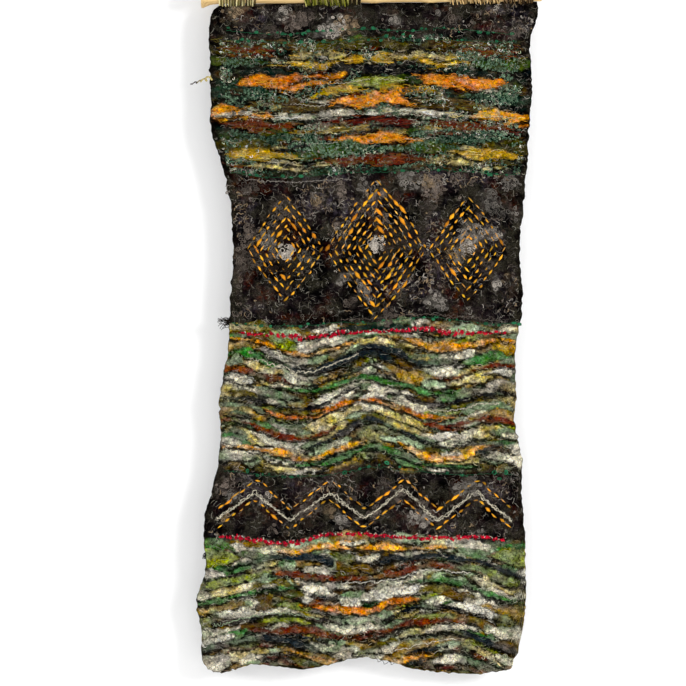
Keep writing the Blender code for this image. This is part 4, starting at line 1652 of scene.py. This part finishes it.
class HANGING_OT_curls(PieceOperator):
    """Felt small crimped curls into the ridged zones"""

    bl_idname = "hanging.curls"
    bl_label = "Crimped curls"
    SEED = 360
    LOWEST = 1185
    UPPER = 0.52  # the share of curls that is in the upper ridged zone

    def make(self, sizes, colours):
        canvas, random, count = self.canvas, self.random, sizes.curls
        drop = np.where(
            random.random(count) < self.UPPER, random.uniform(*RIDGED, count),
            random.uniform(FOOT.top, self.LOWEST, count),
        )
        x, z = canvas.place(random.uniform(-300, 300, count), drop)
        # Each curl takes the colour seen under it, with its painted crease shade, lighter or darker at
        # random.
        wool = canvas.sample(canvas.seen, x, z) * random.uniform(0.75, 1.8, (count, 1)) + 0.01
        path = self.curled(
            x, z, turns=(2.5, 5.0), reach=(1.4, 3.2), flat=(0.4, 0.8), steps=7, lean=0.4
        )
        self.lay(path, wool, arch=1.0, radius=(0.3, 0.5), margin=4)
        self.piece("crimped_curls", strand_material("curl_wool", 0.8), "dyed_wool")


class HANGING_OT_fibres(PieceOperator):
    """Scatter fine loose fibres over the whole felt, and curlier hairs over its dark zones"""

    bl_idname = "hanging.fibres"
    bl_label = "Loose fibres"
    SEED = 370
    HALVES = {"fibres_upper": (0, 590), "fibres_lower": (590, 1190)}  # top and bottom drops
    HAIRS, PLACES = 2200, 24000  # how many curly hairs, and how many places are tried for them

    def make(self, sizes, colours):
        canvas, random = self.canvas, self.random
        material, width = strand_material("fine_fibres", 0.8), sizes.fibre_width / MM / 2
        for name, ends in self.HALVES.items():
            x, z, banded = self.scattered(sizes.fibres // 2, *ends)
            one, banded = (len(x), 1), np.clip(banded, 0, 1)
            way = random.normal(0, 1, len(x)) * (1.6 - 1.15 * banded)
            path = self.flowing(x, z, way, length=(4, 13), bend=2.2, steps=5)
            share = random.random(len(x)) ** 2.2 * (0.45 + 0.25 * banded)
            pale = dyes_of("smoke taupe cream smoke white", random, len(x))
            # Each fibre takes the colour seen under it, with its painted crease shade, lighter or
            # darker at random.
            seen = canvas.sample(canvas.seen, x, z) * random.uniform(0.7, 1.7, one)
            wool = blend(seen, pale, share)
            self.lay(path, wool, arch=0.9, radius=(0.6 * width, 1.2 * width), sides=2, margin=1)
            self.piece(name, material, "dyed_wool")
        x, z, banded = self.scattered(self.PLACES, 0, PALE.bottom)
        dark = (banded < 0.2) & (random.random(len(x)) < 0.03 + canvas.sample(canvas.cloud, x, z))
        x, z = (values[dark][: self.HAIRS] for values in (x, z))
        way = random.uniform(0, TURN, len(x))
        path = self.flowing(x, z, way, length=(6, 17), bend=5.0, steps=9, wave=0.7)
        wool = 0.7 * dyes_of("taupe umber taupe smoke umber tan", random, len(x))
        self.lay(path, tinted(wool, random, 0.35), arch=1.1, radius=(0.35, 0.65), sides=2)
        self.piece("curly_hairs", material, "dyed_wool")

    def scattered(self, count, top, bottom):
        """Places on the felt, and how far each is in the streaked or the ridged zones."""
        canvas, random = self.canvas, self.random
        x, z = canvas.place(random.uniform(-312, 312, count), random.uniform(top, bottom, count))
        return x, z, canvas.sample(canvas.ridged, x, z) + canvas.sample(canvas.wet, x, z)


class HANGING_OT_tails(PieceOperator):
    """Leave the loose yarn tails, tufts and thread loops at the edges"""

    bl_idname = "hanging.tails"
    bl_label = "Tails and tufts"
    SEED = 380
    TUFTS = (
        # drop, reach, count and dyes
        (566, 26, 30, "soot umber soot"),
        (331, 9, 12, "smoke taupe"),
        (982, 9, 12, "soot night"),
    )
    LOOPS = ((13, 8), (24, 10), (36, 7))  # how far to the right and how wide

    def make(self, sizes, colours):
        self.tail()
        for tuft in self.TUFTS:
            self.tuft(*tuft)
        for x, wide in self.LOOPS:
            self.thread_loop(x, wide)
        self.piece("tails_and_tufts", strand_material("tail_yarn", 0.75, 1.1), "dyed_wool")

    def tail(self):
        """A crimped yarn end that leaves the left edge, beige first and dark past its bend."""
        share = np.linspace(0, 1, 90)
        z = -143 - 14 * share + (3.4 - 2.2 * share) * np.sin(share * 34)
        x = self.canvas.form.left(-150.0) + 7 - 43 * share
        x = x + (3.2 - 2.0 * share) * np.cos(share * 31 + 1)
        y = -1 + 3 * np.sin(share * 21) - 5 * share
        wool = blend(0.8 * DYES["straw"], DYES["umber"], smooth_step(0.5, 0.75, share))
        twist = (np.arange(90) * 0.7)[None]
        points = np.stack([x, y, z], axis=-1)[None]
        self.strands.add(points, 1.7 - 1.0 * share, wool[None], sides=6, lobes=twist)

    def tuft(self, drop, reach, count, names):
        """A tuft of curls that stands out past the left edge."""
        random, one, share = self.random, (count, 1), np.linspace(0, 1, 26)
        edge_z = -HEAD - drop
        way = random.uniform(-0.5, 0.5, one)
        length = reach * random.uniform(0.4, 1.0, one)
        curl = random.uniform(1.0, 2.6, one)
        turn = TURN * random.uniform(1.2, 2.6, one) * share + way * 9
        x = self.canvas.form.left(edge_z) + 5 - share * length * np.cos(way) + curl * np.cos(turn)
        z = edge_z + random.uniform(-5, 5, one) + share * length * np.sin(way) + curl * np.sin(turn)
        y = random.uniform(-3, 1.5, one) + 1.2 * np.sin(turn * 0.7)
        wool = tinted(dyes_of(names, random, count), random, 0.2)
        self.strands.add(np.stack([x, y, z], axis=-1), 0.45, wool, 4)

    def thread_loop(self, x, wide):
        """A fine dark loop of thread that hangs out of the bottom edge."""
        share = np.linspace(0, 1, 22)
        z = self.canvas.form.bottom(x) + 2 - 0.75 * wide * np.sin(pi * share)
        x = x + wide * (share - 0.5) * 1.3 + 1.5 * np.sin(share * 9)
        points = np.stack([x, 0.5 + np.sin(share * 7), z], axis=-1)[None]
        self.strands.add(points, 0.4, DYES["soot"][None], 4)


class HANGING_OT_stage(bpy.types.Operator):
    """Set up the pale wall and floor, the soft lights and the camera"""

    bl_idname = "hanging.stage"
    bl_label = "Stage"
    bl_options = {"REGISTER", "UNDO"}
    FLOOR_Z = -1.55
    VIEW_CENTRE = (-0.0506, -0.6152)  # along the branch, and up
    VIEW_WIDTH = 1.2177
    DISTANCE = 4.2
    WHITE = (1.0, 1.0, 1.0, 1.0)
    WORLD_LIGHT = 0.62
    AIM = (0.0, 0.0, -0.6)
    # The place, size and power of each lamp
    LAMPS = {
        "key": ((2.4, -2.6, 0.1), 1.0, 66),
        "fill": ((-1.8, -3.2, 0.3), 2.4, 26),
        "back": ((0.9, 2.6, 0.8), 2.0, 40),
    }

    def execute(self, context):
        scene, low = context.scene, self.FLOOR_Z
        wall_y, pale = scene.hanging_sizes.wall_gap, np.array(scene.hanging_colours.backdrop)
        floor = self.sheet("floor", [(-5, -6, low), (5, -6, low), (5, 3, low), (-5, 3, low)], pale)
        wall = [(-5, wall_y, low), (5, wall_y, low), (5, wall_y, 2.2), (-5, wall_y, 2.2)]
        wall = self.sheet("wall", wall, pale)
        self.clear_from_behind(wall.data.materials[0].node_tree)
        wall.visible_shadow = False
        for name, looks in self.LAMPS.items():
            self.lamp(name, *looks)
        scene.world = bpy.data.worlds.new("studio")
        scene.world.use_nodes = True
        background = scene.world.node_tree.nodes["Background"].inputs
        background["Color"].default_value = self.WHITE
        background["Strength"].default_value = self.WORLD_LIGHT
        scene.view_settings.view_transform = "Standard"
        scene.camera = self.camera()
        return {"FINISHED"}

    def sheet(self, name, corners, colour):
        """A flat painted sheet."""
        finish = Finish(name + "_paint")
        tone = finish.place.noise(220.0, 2.0).step(0.2, 0.8)
        paint = finish.made(
            base_color=tone.between(0.97 * colour, colour), roughness=0.9, specular_ior_level=0.1,
            emission_strength=0.14, emission_color=self.WHITE,
        )
        mesh = bpy.data.meshes.new(name)
        mesh.from_pydata(corners, [], [(0, 1, 2, 3)])
        mesh.materials.append(paint)
        return linked(name, mesh)

    def clear_from_behind(self, tree):
        """Lets a paint be seen from its front only."""
        behind = Wire.node(tree, "NewGeometry", output="Backfacing")
        clear = Wire.node(tree, "BsdfTransparent")
        paint = Wire(tree.nodes["Principled BSDF"].outputs[0])
        seen = Wire.node(tree, "MixShader", None, {0: behind, 1: paint, 2: clear})
        tree.links.new(seen.socket, tree.nodes["Material Output"].inputs["Surface"])

    def lamp(self, name, place, size, watts):
        light = bpy.data.lights.new(name, "AREA")
        light.shape, light.size, light.energy = "DISK", size, watts
        obj = linked(name, light)
        obj.location = place
        obj.rotation_euler = (Vector(self.AIM) - Vector(place)).to_track_quat("-Z", "Y").to_euler()

    def camera(self):
        data = bpy.data.cameras.new("camera")
        data.lens = data.sensor_width * self.DISTANCE / self.VIEW_WIDTH
        data.clip_end = 60
        obj = linked("camera", data)
        obj.location = (self.VIEW_CENTRE[0], -self.DISTANCE, self.VIEW_CENTRE[1])
        obj.rotation_euler = (radians(90), 0, 0)
        return obj


PIECES = (
    HANGING_OT_stage,
    HANGING_OT_felt,
    HANGING_OT_branch,
    HANGING_OT_lashings,
    HANGING_OT_stitches,
    HANGING_OT_knots,
    HANGING_OT_couching,
    HANGING_OT_boucle,
    HANGING_OT_locks,
    HANGING_OT_rovings,
    HANGING_OT_curls,
    HANGING_OT_fibres,
    HANGING_OT_tails,
)


class HANGING_PT_panel(bpy.types.Panel):
    """Lists the hanging's sizes, colours and pieces"""

    bl_label = "Felt wall hanging"
    bl_idname = "HANGING_PT_panel"
    bl_space_type = "VIEW_3D"
    bl_region_type = "UI"
    bl_category = "Hanging"

    def draw(self, context):
        for group in (context.scene.hanging_sizes, context.scene.hanging_colours):
            box = self.layout.box()
            for name in group.__annotations__:
                box.prop(group, name)
        for piece in PIECES:
            self.layout.operator(piece.bl_idname)


CLASSES = (HangingSizes, HangingColours, *PIECES, HANGING_PT_panel)


def register():
    for cls in CLASSES:
        bpy.utils.register_class(cls)
    bpy.types.Scene.hanging_sizes = bpy.props.PointerProperty(type=HangingSizes)
    bpy.types.Scene.hanging_colours = bpy.props.PointerProperty(type=HangingColours)


def unregister():
    del bpy.types.Scene.hanging_sizes
    del bpy.types.Scene.hanging_colours
    for cls in reversed(CLASSES):
        bpy.utils.unregister_class(cls)


def main():
    register()
    for piece in PIECES:
        group, name = piece.bl_idname.split(".")
        getattr(getattr(bpy.ops, group), name)()


if __name__ == "__main__":
    main()
